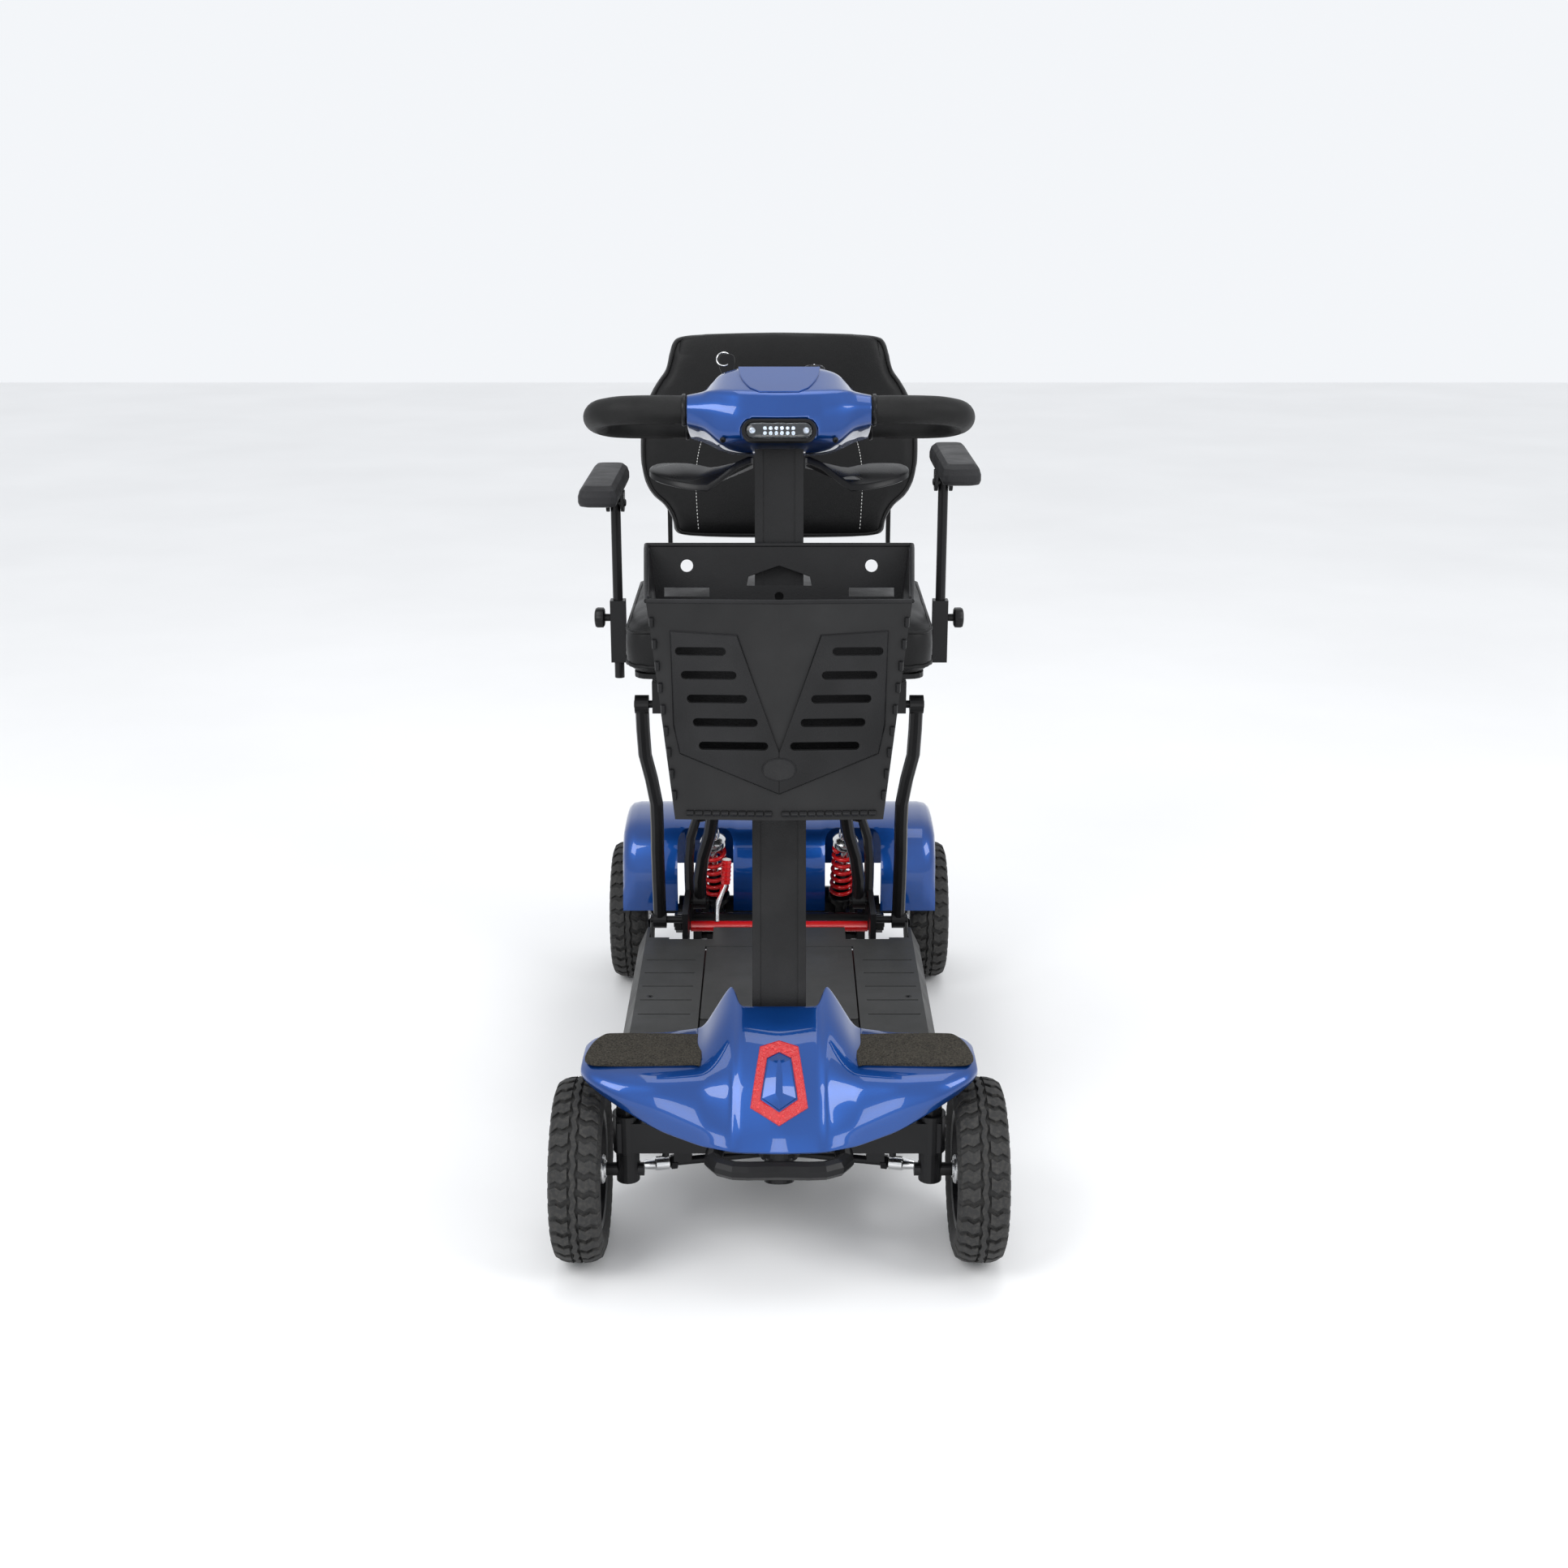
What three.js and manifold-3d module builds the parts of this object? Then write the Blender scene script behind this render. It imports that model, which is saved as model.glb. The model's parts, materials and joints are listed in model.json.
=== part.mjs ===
// Folding four-wheel mobility scooter.
// Millimetres, +Z up. The front faces -Y and the driver's left hand is at +X.
// The origin is on the floor under the middle of the wheelbase.
import * as THREE from "three";
import { mergeVertices } from "three/addons/utils/BufferGeometryUtils.js";
import Module from "manifold-3d";

const wasm = await Module();
wasm.setup();

// ---- driving dimensions ----
const GAP = 0.3; // clearance between pieces that touch
const AXLE_Y = 401; // half of the wheelbase
const WHEEL_R = 102; // 8 inch tyre
const TYRE_X0 = 191; // inner and outer side of every tyre
const TYRE_X1 = 249;
const RIM_R = 66;
const KINGPIN_X = 168;
const BEAM_Z = [129, 165];
const COLUMN_Y = -370; // vertical steering axis
const TILLER_PIVOT = [0, -330, 205]; // tiller tilt axis
const TILLER_LEAN = 15; // degrees from vertical, leaning back
const MAST_W = 60; // lower tiller tube
const MAST_D = 46;
const UPPER_W = 54; // upper tiller tube
const UPPER_D = 38;
const LOWER_MAST = [14, 500]; // start and end along the tiller from its pivot
const UPPER_MAST = [330, 700];
const HEAD_S = 690; // height of the head's underside along the tiller
const BASKET_TILT = 15;
const DECK_Z = 150;
const FOLD_PIVOT = [215, 152]; // Y and Z of the main fold hinge
const LEG_FOOT_FRONT = [178, 172]; // Y and Z of the lower pivots of the seat legs
const LEG_FOOT_REAR = [250, 172];
const LEG_VECTOR = [-78, 330]; // from each lower pivot to its upper pivot
const SEAT_X = 199; // half width of the seat cushion
const SEAT_Z = [548, 622];
const SEAT_Y = [60, 405];
const BACK_HINGE = [412, 704]; // Y and Z of the backrest's fold axis
const POST_X = 212; // armrest posts
const POST_Y = 176;
const RAD = Math.PI / 180;

// ---- materials ----
const paint = (color, roughness, metalness) => new THREE.MeshStandardMaterial({ color, roughness, metalness });
const BLUE = paint(0x0b4fae, 0.22, 0.6);
const BLACK_METAL = paint(0x17181a, 0.4, 0.5);
const BLACK_PLASTIC = paint(0x1a1b1d, 0.6, 0);
const DECK_GREY = paint(0x4b4c4b, 0.6, 0);
const VINYL = paint(0x141416, 0.45, 0);
const RUBBER = paint(0x1b1b1b, 0.85, 0);
const GRIT = paint(0x2c2a26, 0.95, 0);
const RED = paint(0xc4121a, 0.35, 0.2);
const CHROME = paint(0xcfd2d4, 0.2, 1);
const CLEAR = paint(0xdfe6ee, 0.1, 0);

// ---- solids ----
function toSolid(geometry) {
  const bare = geometry.index ? geometry.toNonIndexed() : geometry.clone();
  bare.deleteAttribute("normal");
  bare.deleteAttribute("uv");
  const merged = mergeVertices(bare, 1e-3);
  const mesh = new wasm.Mesh({
    numProp: 3,
    vertProperties: new Float32Array(merged.attributes.position.array),
    triVerts: new Uint32Array(merged.index.array),
  });
  return new wasm.Manifold(mesh);
}

function toGeometry(solid) {
  const mesh = solid.getMesh();
  const geometry = new THREE.BufferGeometry();
  geometry.setAttribute("position", new THREE.BufferAttribute(new Float32Array(mesh.vertProperties), 3));
  geometry.setIndex(new THREE.BufferAttribute(new Uint32Array(mesh.triVerts), 1));
  return geometry;
}

// Joins the first list and cuts away the second.
function carve(adds, cuts = []) {
  let solid = toSolid(adds[0]);
  for (const extra of adds.slice(1)) {
    solid = solid.add(toSolid(extra));
  }
  for (const cut of cuts) {
    solid = solid.subtract(toSolid(cut));
  }
  return toGeometry(solid);
}

// The part that two solids share.
function common(a, b) {
  return toGeometry(toSolid(a).intersect(toSolid(b)));
}

const at = (geometry, x, y, z) => geometry.translate(x, y, z);

// A box between two corners.
function box(x0, x1, y0, y1, z0, z1) {
  return at(new THREE.BoxGeometry(x1 - x0, y1 - y0, z1 - z0), (x0 + x1) / 2, (y0 + y1) / 2, (z0 + z1) / 2);
}

// A round bar between two heights along one of the three axes.
function bar(axis, radius, from, to, a, b, sides = 20) {
  const rod = new THREE.CylinderGeometry(radius, radius, to - from, sides);
  const middle = (from + to) / 2;
  if (axis === "x") {
    return at(rod.rotateZ(-Math.PI / 2), middle, a, b);
  }
  if (axis === "y") {
    return at(rod, a, middle, b);
  }
  return at(rod.rotateX(Math.PI / 2), a, b, middle);
}

// A plate with an outline in X and Y, from z0 to z1.
function plate(points, z0, z1) {
  const shape = new THREE.Shape(points.map(([x, y]) => new THREE.Vector2(x, y)));
  return at(new THREE.ExtrudeGeometry(shape, { depth: z1 - z0, bevelEnabled: false }), 0, 0, z0);
}

// A plate with an outline in Y and Z, from x0 to x1.
function sidePlate(points, x0, x1) {
  const shape = new THREE.Shape(points.map(([y, z]) => new THREE.Vector2(y, z)));
  const body = new THREE.ExtrudeGeometry(shape, { depth: x1 - x0, bevelEnabled: false });
  const turn = new THREE.Matrix4().makeBasis(
    new THREE.Vector3(0, 1, 0), new THREE.Vector3(0, 0, 1), new THREE.Vector3(1, 0, 0));
  return at(body.applyMatrix4(turn), x0, 0, 0);
}

// A plate with an outline in X and Z, from y0 to y1.
function frontPlate(points, y0, y1) {
  const shape = new THREE.Shape(points.map(([x, z]) => new THREE.Vector2(x, z)));
  const body = new THREE.ExtrudeGeometry(shape, { depth: y1 - y0, bevelEnabled: false });
  return at(body.rotateX(Math.PI / 2), 0, y1, 0);
}

// The outline of a rectangle with round corners.
function roundRect(x0, x1, y0, y1, radius, steps = 4) {
  const corners = [[x1 - radius, y1 - radius, 0], [x0 + radius, y1 - radius, 90],
    [x0 + radius, y0 + radius, 180], [x1 - radius, y0 + radius, 270]];
  const points = [];
  for (const [cx, cy, start] of corners) {
    for (let i = 0; i <= steps; i += 1) {
      const turn = (start + (90 * i) / steps) * RAD;
      points.push([cx + radius * Math.cos(turn), cy + radius * Math.sin(turn)]);
    }
  }
  return points;
}

// A round bar bent along a smooth or straight-legged path.
function bentBar(points, radius, sides = 12, steps = 20, closed = false) {
  const path = new THREE.CatmullRomCurve3(points.map((p) => new THREE.Vector3(...p)), closed, "centripetal");
  const ring = new THREE.Shape();
  for (let i = 0; i < sides; i += 1) {
    const turn = (i / sides) * 2 * Math.PI;
    const method = i === 0 ? "moveTo" : "lineTo";
    ring[method](radius * Math.cos(turn), radius * Math.sin(turn));
  }
  return new THREE.ExtrudeGeometry(ring, { steps, bevelEnabled: false, extrudePath: path });
}

// A body of revolution about the X axis from [x, radius] points that close on themselves.
function turned(profile, segments = 28) {
  const points = [...profile, profile[0]].map(([x, r]) => new THREE.Vector2(r, x));
  return new THREE.LatheGeometry(points, segments).rotateZ(-Math.PI / 2);
}

// A skin through rows of points: rows[i][j] is a ring of points, closed along j and capped at both ends.
function loft(rows) {
  const ringSize = rows[0].length;
  const positions = rows.flat(2);
  const index = [];
  for (let i = 0; i + 1 < rows.length; i += 1) {
    for (let j = 0; j < ringSize; j += 1) {
      const a = i * ringSize + j;
      const b = i * ringSize + ((j + 1) % ringSize);
      index.push(a, b, a + ringSize, b, b + ringSize, a + ringSize);
    }
  }
  for (const row of [0, rows.length - 1]) {
    const flat = rows[row].map((p) => new THREE.Vector2(p[1], p[2]));
    const ringTurn = Math.sign(THREE.ShapeUtils.area(flat));
    for (const face of THREE.ShapeUtils.triangulateShape(flat, [])) {
      const faceTurn = Math.sign(THREE.ShapeUtils.area(face.map((k) => flat[k])));
      const corner = face.map((k) => row * ringSize + k);
      const alongRing = faceTurn === ringTurn;
      index.push(...(alongRing === (row > 0) ? corner : corner.reverse()));
    }
  }
  const geometry = new THREE.BufferGeometry();
  geometry.setAttribute("position", new THREE.Float32BufferAttribute(positions, 3));
  geometry.setIndex(index);
  return volume(geometry) < 0 ? flipped(geometry) : geometry;
}

function volume(geometry) {
  const p = geometry.attributes.position;
  const corner = [new THREE.Vector3(), new THREE.Vector3(), new THREE.Vector3()];
  let total = 0;
  for (let i = 0; i < geometry.index.count; i += 3) {
    corner.forEach((v, k) => v.fromBufferAttribute(p, geometry.index.getX(i + k)));
    total += corner[0].dot(corner[1].clone().cross(corner[2])) / 6;
  }
  return total;
}

function flipped(geometry) {
  const index = Array.from(geometry.index.array);
  for (let i = 0; i < index.length; i += 3) {
    [index[i], index[i + 1]] = [index[i + 1], index[i]];
  }
  geometry.setIndex(index);
  return geometry;
}

const scooter = new THREE.Group();

function place(name, geometry, material, parent = scooter) {
  const mesh = new THREE.Mesh(geometry, material);
  mesh.name = name;
  parent.add(mesh);
  return mesh;
}

const SIDES = [["left", 1], ["right", -1]];

// ---- front chassis ----
function deckFrame() {
  const adds = [
    box(-140, 140, 160, 178, 100, 126),
    box(-112, 112, -186, -168, 100, 126),
  ];
  for (const [, s] of SIDES) {
    adds.push(box(s * 108 - 10, s * 108 + 10, -386 + GAP, 178, 102, 126));
    // fold bracket with its three pins
    adds.push(sidePlate([[166, 108], [182, 108], [228, 142], [262, 160], [262, 184], [166, 184], [166, 150]],
      s * 130 - 4, s * 130 + 4));
    adds.push(bar("x", 5, Math.min(s * 128, s * 178), Math.max(s * 128, s * 178), ...LEG_FOOT_FRONT));
    adds.push(bar("x", 5, Math.min(s * 100, s * 132), Math.max(s * 100, s * 132), ...LEG_FOOT_REAR));
    adds.push(bar("x", 6, Math.min(s * 128, s * 148), Math.max(s * 128, s * 148), ...FOLD_PIVOT));
    // flange bolted to the back of the axle beam
    adds.push(box(s * 108 - 22, s * 108 + 22, -386 + GAP, -378, 120, 176));
    adds.push(box(s * 108 - 10, s * 108 + 10, -382, -300, 120, 150));
  }
  return carve(adds);
}

function footboard() {
  const outer = frontPlate([[-197, 104], [197, 104], [197, 122], [184, DECK_Z], [-184, DECK_Z], [-197, 122]],
    -176, 204);
  const hollow = frontPlate([[-193, 90], [193, 90], [193, 121], [182, DECK_Z - 4], [-182, DECK_Z - 4],
    [-193, 121]], -171, 199);
  const adds = [outer];
  const cuts = [hollow, box(-101, 101, -138, 134, 90, 160)];
  for (const [, s] of SIDES) {
    // five grooves in each foot area
    for (let i = 0; i < 5; i += 1) {
      const y = -92 + i * 44;
      const x0 = s > 0 ? 112 : -178;
      cuts.push(box(x0, x0 + 66, y, y + 2.4, DECK_Z - 1.6, DECK_Z + 2));
    }
    // screw holes and the clearance for the fold brackets
    cuts.push(bar("z", 4, 130, 160, s * 166, -36, 12));
    cuts.push(bar("z", 4, 130, 160, s * 92, -158, 12));
    cuts.push(box(Math.min(s * 92, s * 152), Math.max(s * 92, s * 152), 160, 210, 90, 170));
    cuts.push(box(Math.min(s * 150, s * 180), Math.max(s * 150, s * 180), 166, 210, 90, 170));
    // sloping front corner
    cuts.push(sidePlate([[-180, 128], [-150, 152], [-180, 152]], Math.min(s * 96, s * 200), Math.max(s * 96, s * 200)));
  }
  return carve([carve(adds, cuts), frontFloorPan()], frameClearance());
}

// Room for the cross members and side rails of the deck frame.
function frameClearance() {
  const cuts = [box(-152, 152, 158, 210, 90, 127), box(-114, 114, -188, -166, 90, 127)];
  for (const [, s] of SIDES) {
    cuts.push(box(s * 108 - 11, s * 108 + 11, -400, 182, 90, 127));
    cuts.push(box(s * 108 - 11, s * 108 + 11, -400, -298, 119, 154));
  }
  return cuts;
}

function frontFloorPan() {
  // floor that runs from the deck forward under the cowl
  const side = [[-172, 106], [-172, 128], [-200, 136], [-300, 152], [-340, 152], [-340, 146],
    [-302, 146], [-204, 128], [-190, 106]];
  const adds = [sidePlate(side, -158, 158)];
  const cuts = [];
  for (const [, s] of SIDES) {
    cuts.push(plate([[s * 96, -350], [s * 170, -350], [s * 170, -236], [s * 128, -262]], 90, 170));
  }
  cuts.push(box(-40, 40, -360, -296, 100, 170));
  return carve(adds, cuts);
}

function batteryPack() {
  return carve([plate(roundRect(-94, 94, -130, 128, 8), 72, 138), box(-30, 30, 40, 60, 138, 141.5)]);
}

function batteryLid() {
  return carve([plate(roundRect(-99, 99, -105, 132, 3), DECK_Z - 5, DECK_Z)],
    [box(-6, 6, -110, -98, DECK_Z - 3, DECK_Z + 1)]);
}

function lidLatch() {
  return carve([box(-99, 99, -136, -107, DECK_Z - 8, DECK_Z - 1), bar("x", 4, -88, 88, -122, DECK_Z - 1)]);
}

function bumper() {
  const run = [[-66, -418, 147], [-70, -450, 147], [-70, -470, 147], [-52, -486, 147], [0, -487, 147],
    [52, -486, 147], [70, -470, 147], [70, -450, 147], [66, -418, 147]];
  return carve([bentBar(run, 10, 10, 16)], [box(-90, 90, -416 - GAP, -400, 120, 180)]);
}

// Half of the cowl's outer skin: at each distance from the middle, [Y, Z] from rear top edge to lower lip.
const COWL = [
  [0, [[-358, 279], [-402, 255], [-442, 222], [-469, 186], [-480, 162]]],
  [42, [[-358, 279], [-398, 255], [-436, 222], [-463, 186], [-476, 161]]],
  [52, [[-300, 293], [-372, 264], [-428, 226], [-458, 187], [-474, 161]]],
  [84, [[-326, 241], [-398, 240], [-442, 228], [-464, 194], [-468, 166]]],
  [130, [[-345, 240], [-404, 240], [-448, 231], [-462, 208], [-462, 182]]],
  [175, [[-345, 240], [-402, 240], [-440, 233], [-454, 220], [-451, 207]]],
  [204, [[-352, 238], [-396, 239], [-424, 235], [-435, 229], [-433, 222]]],
  [215, [[-368, 233], [-391, 234], [-407, 232], [-413, 229], [-412, 226]]],
];
const COWL_SKIN = 3;

function cowlSection(x, grow = 0, skin = COWL_SKIN) {
  const d = Math.abs(x);
  let k = COWL.length - 2;
  while (k > 0 && COWL[k][0] > d) {
    k -= 1;
  }
  const [x0, low] = COWL[k];
  const [x1, high] = COWL[k + 1];
  const mix = (d - x0) / (x1 - x0);
  const spine = low.map(([y, z], i) => new THREE.Vector2(
    y + (high[i][0] - y) * mix, z + (high[i][1] - z) * mix));
  const curve = new THREE.SplineCurve(spine);
  const outer = [];
  const inner = [];
  for (let i = 0; i <= 8; i += 1) {
    const p = curve.getPoint(i / 8);
    const t = curve.getTangent(i / 8).normalize();
    outer.push([x, p.x + t.y * grow, p.y - t.x * grow]);
    inner.push([x, p.x - t.y * skin, p.y + t.x * skin]);
  }
  return { outer, inner: inner.reverse() };
}

const COWL_STATIONS = [0, 21, 42, 47, 52, 62, 72, 84, 107, 130, 152, 175, 190, 204, 215];

function cowlSkin(stations, grow, skin) {
  const all = [...stations.slice(1).reverse().map((x) => -x), ...stations];
  return loft(all.map((x) => {
    const { outer, inner } = cowlSection(x, grow, skin);
    return [...outer, ...inner];
  }));
}

function frontCowl() {
  return cowlSkin(COWL_STATIONS, 0, COWL_SKIN);
}

function gripPad(s) {
  const outline = [[84, -428], [205, -424], [211, -405], [205, -372], [194, -352], [140, -350], [129, -372],
    [84, -374]].map(([x, y]) => [s * x, y]);
  return plate(s > 0 ? outline : outline.reverse(), 240 + GAP + 1.2, 243.5);
}

function reflector() {
  // prismatic ring on the ridge of the cowl, five sides
  const outer = [[0, 0], [21, 7], [31, 76], [0, 96], [-31, 76], [-21, 7]];
  const inner = [[13, 22], [20, 68], [0, 82], [-20, 68], [-13, 22]];
  const down = ([x, y]) => [x, -y];
  const prism = carve([plate(outer.map(down), -20, 20)], [plate(inner.map(down), -21, 21)]);
  prism.rotateX(43 * RAD).translate(0, -398, 254);
  return common(carve([prism], [cowlSkin([0, 21, 42], GAP, 24)]), cowlSkin([0, 21, 42], 3, 10));
}

// ---- steering and tiller; these stand in the tiller's own frame, with +Z up the tiller ----
const tiller = new THREE.Group();
tiller.position.set(...TILLER_PIVOT);
tiller.rotation.x = -TILLER_LEAN * RAD;
scooter.add(tiller);

// A geometry from the tiller's frame, moved into the scooter's frame.
function raked(geometry) {
  return geometry.rotateX(-TILLER_LEAN * RAD).translate(...TILLER_PIVOT);
}

function axleBeam() {
  const adds = [
    box(-178, 178, -416, -386, ...BEAM_Z),
    box(-22, 22, -388, -345, 132, 162),
    raked(bar("z", 23, -112, -26, 0, 0, 28)),
  ];
  const cuts = [raked(bar("z", 15 + GAP, -120, -20, 0, 0, 28))];
  for (const [, s] of SIDES) {
    adds.push(bar("z", 16, 127, 172, s * KINGPIN_X, -AXLE_Y, 24));
    adds.push(bar("z", 4, 118, 132, s * 126, -AXLE_Y, 10));
    cuts.push(bar("z", 9 + GAP, 120, 180, s * KINGPIN_X, -AXLE_Y, 20));
  }
  return carve(adds, cuts);
}

function steeringColumn() {
  const adds = [
    bar("z", 15, -140, -20, 0, 0, 28),
    bar("z", 17, -142, -118, 0, 0, 24),
    box(-34, 34, -20, 24, -26 + GAP, -20),
    box(-9, 9, 0, 52, -136, -129),
  ];
  const cuts = [];
  for (const [, s] of SIDES) {
    adds.push(box(Math.min(s * 34, s * 40), Math.max(s * 34, s * 40), -20, 24, -26 + GAP, 16));
    cuts.push(bar("x", 6 + GAP, Math.min(s * 30, s * 50), Math.max(s * 30, s * 50), 0, 0, 16));
  }
  return carve(adds, cuts);
}

function mastLower() {
  const [from, to] = LOWER_MAST;
  const adds = [
    box(-MAST_W / 2, MAST_W / 2, -MAST_D / 2, MAST_D / 2, from, to),
    box(-30, 30, -14, 14, -4, from + 2),
    bar("x", 14, -30, 30, 0, 0, 20),
    bar("x", 6, -44, 44, 0, 0, 16),
  ];
  const cuts = [
    box(-UPPER_W / 2 - GAP, UPPER_W / 2 + GAP, -UPPER_D / 2 - GAP, UPPER_D / 2 + GAP, from + 40, to + 5),
    box(-21, 21, -MAST_D / 2 - 1, -MAST_D / 2 + 1.5, from + 20, to + 5),
    box(-21, 21, MAST_D / 2 - 1.5, MAST_D / 2 + 1, from + 20, to + 5),
  ];
  return carve(adds, cuts);
}

function mastUpper() {
  const [from, to] = UPPER_MAST;
  return carve([box(-UPPER_W / 2, UPPER_W / 2, -UPPER_D / 2, UPPER_D / 2, from, HEAD_S - 8 - GAP)], [
    box(-UPPER_W / 2 + 3, UPPER_W / 2 - 3, -UPPER_D / 2 + 3.5, UPPER_D / 2 - 3.5, from - 5, to - 40),
    box(-18, 18, -UPPER_D / 2 - 1, -UPPER_D / 2 + 1.5, from - 5, to),
  ]);
}

function heightClamp() {
  const [, top] = LOWER_MAST;
  return carve([box(-34, 34, -27, 27, top - 26, top - 2), bar("y", 8, 27, 40, 0, top - 14, 16)],
    [box(-30 - GAP, 30 + GAP, -23 - GAP, 23 + GAP, top - 30, top + 2)]);
}

// The head's section at each distance from the middle, [Y, Z] round a closed loop.
const HEAD = [
  [0, [[85, 686], [97, 703], [98, 740], [88, 772], [23, 779], [-38, 739], [-43, 714], [-37, 690], [30, 684]]],
  [44, [[85, 686], [97, 703], [98, 740], [88, 772], [23, 778], [-36, 741], [-42, 716], [-36, 687], [30, 683]]],
  [66, [[86, 690], [98, 704], [100, 738], [91, 766], [23, 772], [-29, 744], [-37, 724], [-31, 687], [30, 686]]],
  [84, [[86, 700], [99, 709], [101, 734], [93, 750], [24, 752], [-22, 744], [-31, 726], [-25, 704], [30, 700]]],
  [103, [[86, 706], [100, 712], [102, 727], [95, 743], [25, 744], [-18, 742], [-27, 726], [-19, 709], [30, 706]]],
];

function tillerHead() {
  const steps = [-103, -94, -84, -75, -66, -55, -44, -22, 0, 22, 44, 55, 66, 75, 84, 94, 103];
  const rows = steps.map((x) => {
    const d = Math.abs(x);
    let k = HEAD.length - 2;
    while (k > 0 && HEAD[k][0] > d) {
      k -= 1;
    }
    const mix = (d - HEAD[k][0]) / (HEAD[k + 1][0] - HEAD[k][0]);
    return HEAD[k][1].map(([y, z], i) => {
      const [y1, z1] = HEAD[k + 1][1][i];
      return [x, y + (y1 - y) * mix, z + (z1 - z) * mix];
    });
  });
  // socket below for the upper tube, and a recess in front for the headlight
  return carve([loft(rows)], [
    frontPlate(roundRect(-42, 42, 685, 712, 13, 5), -60, -34),
    bar("z", 7, 760, 790, -60, 58, 16),
    bar("z", 14, 764, 790, 40, 58, 20),
  ]);
}

function handlebar(s) {
  const run = [[103 + GAP, -8, 726], [140, -10, 726], [178, -3, 726], [201, 18, 725], [207, 42, 724],
    [198, 68, 723], [172, 84, 723], [140, 86, 723], [103 + GAP, 86, 723]];
  const points = run.map(([x, y, z]) => [s * x, y, z]);
  return carve([bentBar(points, 16, 10, 16)],
    [box(Math.min(0, s * (103 + GAP)), Math.max(0, s * (103 + GAP)), -60, 120, 690, 760)]);
}

function headlight() {
  return carve([frontPlate(roundRect(-41.5, 41.5, 685.5, 711.5, 12.7, 5), -46, -34 - GAP)]);
}

function throttleLever() {
  const paddle = [[30, 36], [80, 34], [112, 44], [146, 66], [150, 84], [138, 96], [108, 98], [84, 84], [30, 66]];
  const left = plate(paddle, 671, 681);
  const right = plate(paddle.map(([x, y]) => [-x, y]).reverse(), 671, 681);
  return carve([left, right, box(-34, 34, 36, 66, 671, 681)]);
}

function ignitionKey() {
  return carve([bar("z", 6, 763, 784, -60, 58, 16), box(-71, -49, 55.5, 60.5, 782, 800)]);
}

function speedDial() {
  return bar("z", 13, 765, 786, 40, 58, 20);
}

// ---- basket, in the tiller's frame ----
const BASKET = { backY: -31, top: 575, bottom: 290, frontTop: [-172, 505], frontBottom: [-131, 276] };
const BASKET_TOP_X = 147;
const BASKET_BOTTOM_X = 112;

function basketHalfWidth(z) {
  const mix = (z - BASKET.bottom) / (BASKET.top - BASKET.bottom);
  return BASKET_BOTTOM_X + (BASKET_TOP_X - BASKET_BOTTOM_X) * mix;
}

function basketBack() {
  const low = basketHalfWidth(BASKET.bottom);
  const high = basketHalfWidth(BASKET.top);
  const sheet = frontPlate([[-low, BASKET.bottom], [low, BASKET.bottom], [high, BASKET.top], [-high, BASKET.top]],
    BASKET.backY, -27 - GAP);
  // hook plate that hangs on the front of the lower tiller tube
  const hook = box(-24, 24, -29, -23 - GAP, 400, 440);
  const cuts = [frontPlate([[-36, 530], [-24, 530], [24, 530], [36, 530], [34, 540], [0, 552], [-34, 540]], -40, -20)];
  cuts.push(bar("y", 5, -40, -20, 0, 518, 14));
  cuts.push(box(-28, 28, -40, -20, 488, 502));
  for (const [, s] of SIDES) {
    cuts.push(bar("y", 7, -40, -20, s * 102, 552, 16));
    cuts.push(box(s * 102 - 25, s * 102 + 25, -40, -20, 518, 528));
  }
  return carve([sheet, hook], cuts);
}

function basketFront() {
  const [y1, z1] = BASKET.frontTop;
  const [y0, z0] = BASKET.frontBottom;
  const tall = Math.hypot(y1 - y0, z1 - z0);
  const lean = Math.atan2(y0 - y1, z1 - z0);
  const chevron = plate([[0, 0], [152, 9], [152, 13], [0, 4], [-152, 13], [-152, 9]], 0, tall);
  const low = basketHalfWidth(z0);
  const high = basketHalfWidth(z1);
  const cuts = [];
  for (const [, s] of SIDES) {
    cuts.push(frontPlate([[s * low, -2], [s * high, tall + 2], [s * 200, tall + 2], [s * 200, -2]], -10, 30));
    for (let i = 0; i < 5; i += 1) {
      const inner = s * (60 - 11 * i);
      const outer = s * (104 - 6 * i);
      const z = tall - 52 - 25 * i;
      const middle = box(Math.min(inner, outer), Math.max(inner, outer), -10, 30, z - 4.5, z + 4.5);
      cuts.push(middle, bar("y", 4.5, -10, 30, inner, z, 12), bar("y", 4.5, -10, 30, outer, z, 12));
    }
  }
  return carve([chevron], cuts).rotateX(lean).translate(0, y0, z0);
}

function basketSide(s) {
  const [y1, z1] = BASKET.frontTop;
  const [y0, z0] = BASKET.frontBottom;
  const back = BASKET.backY - GAP;
  const sheet = sidePlate([[back, BASKET.bottom + 2], [back, BASKET.top], [back - 20, BASKET.top - 6],
    [y1 + 14, z1 + 8], [y1 + 14, z1 - 2], [y0 + 14, z0 + 6]], 0, 4);
  // lean the panel outwards with the taper
  const slope = Math.atan2(BASKET_TOP_X - BASKET_BOTTOM_X, BASKET.top - BASKET.bottom);
  const tilt = sheet.translate(-4, 0, -BASKET.bottom).rotateY(slope).translate(BASKET_BOTTOM_X, 0, BASKET.bottom);
  return s > 0 ? tilt : flippedMirror(tilt);
}

// The mirror image across the middle plane.
function flippedMirror(geometry) {
  const copy = geometry.index ? geometry : mergeVertices(bareOf(geometry), 1e-3);
  return flipped(copy.scale(-1, 1, 1));
}

function bareOf(geometry) {
  geometry.deleteAttribute("normal");
  geometry.deleteAttribute("uv");
  return geometry;
}

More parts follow.
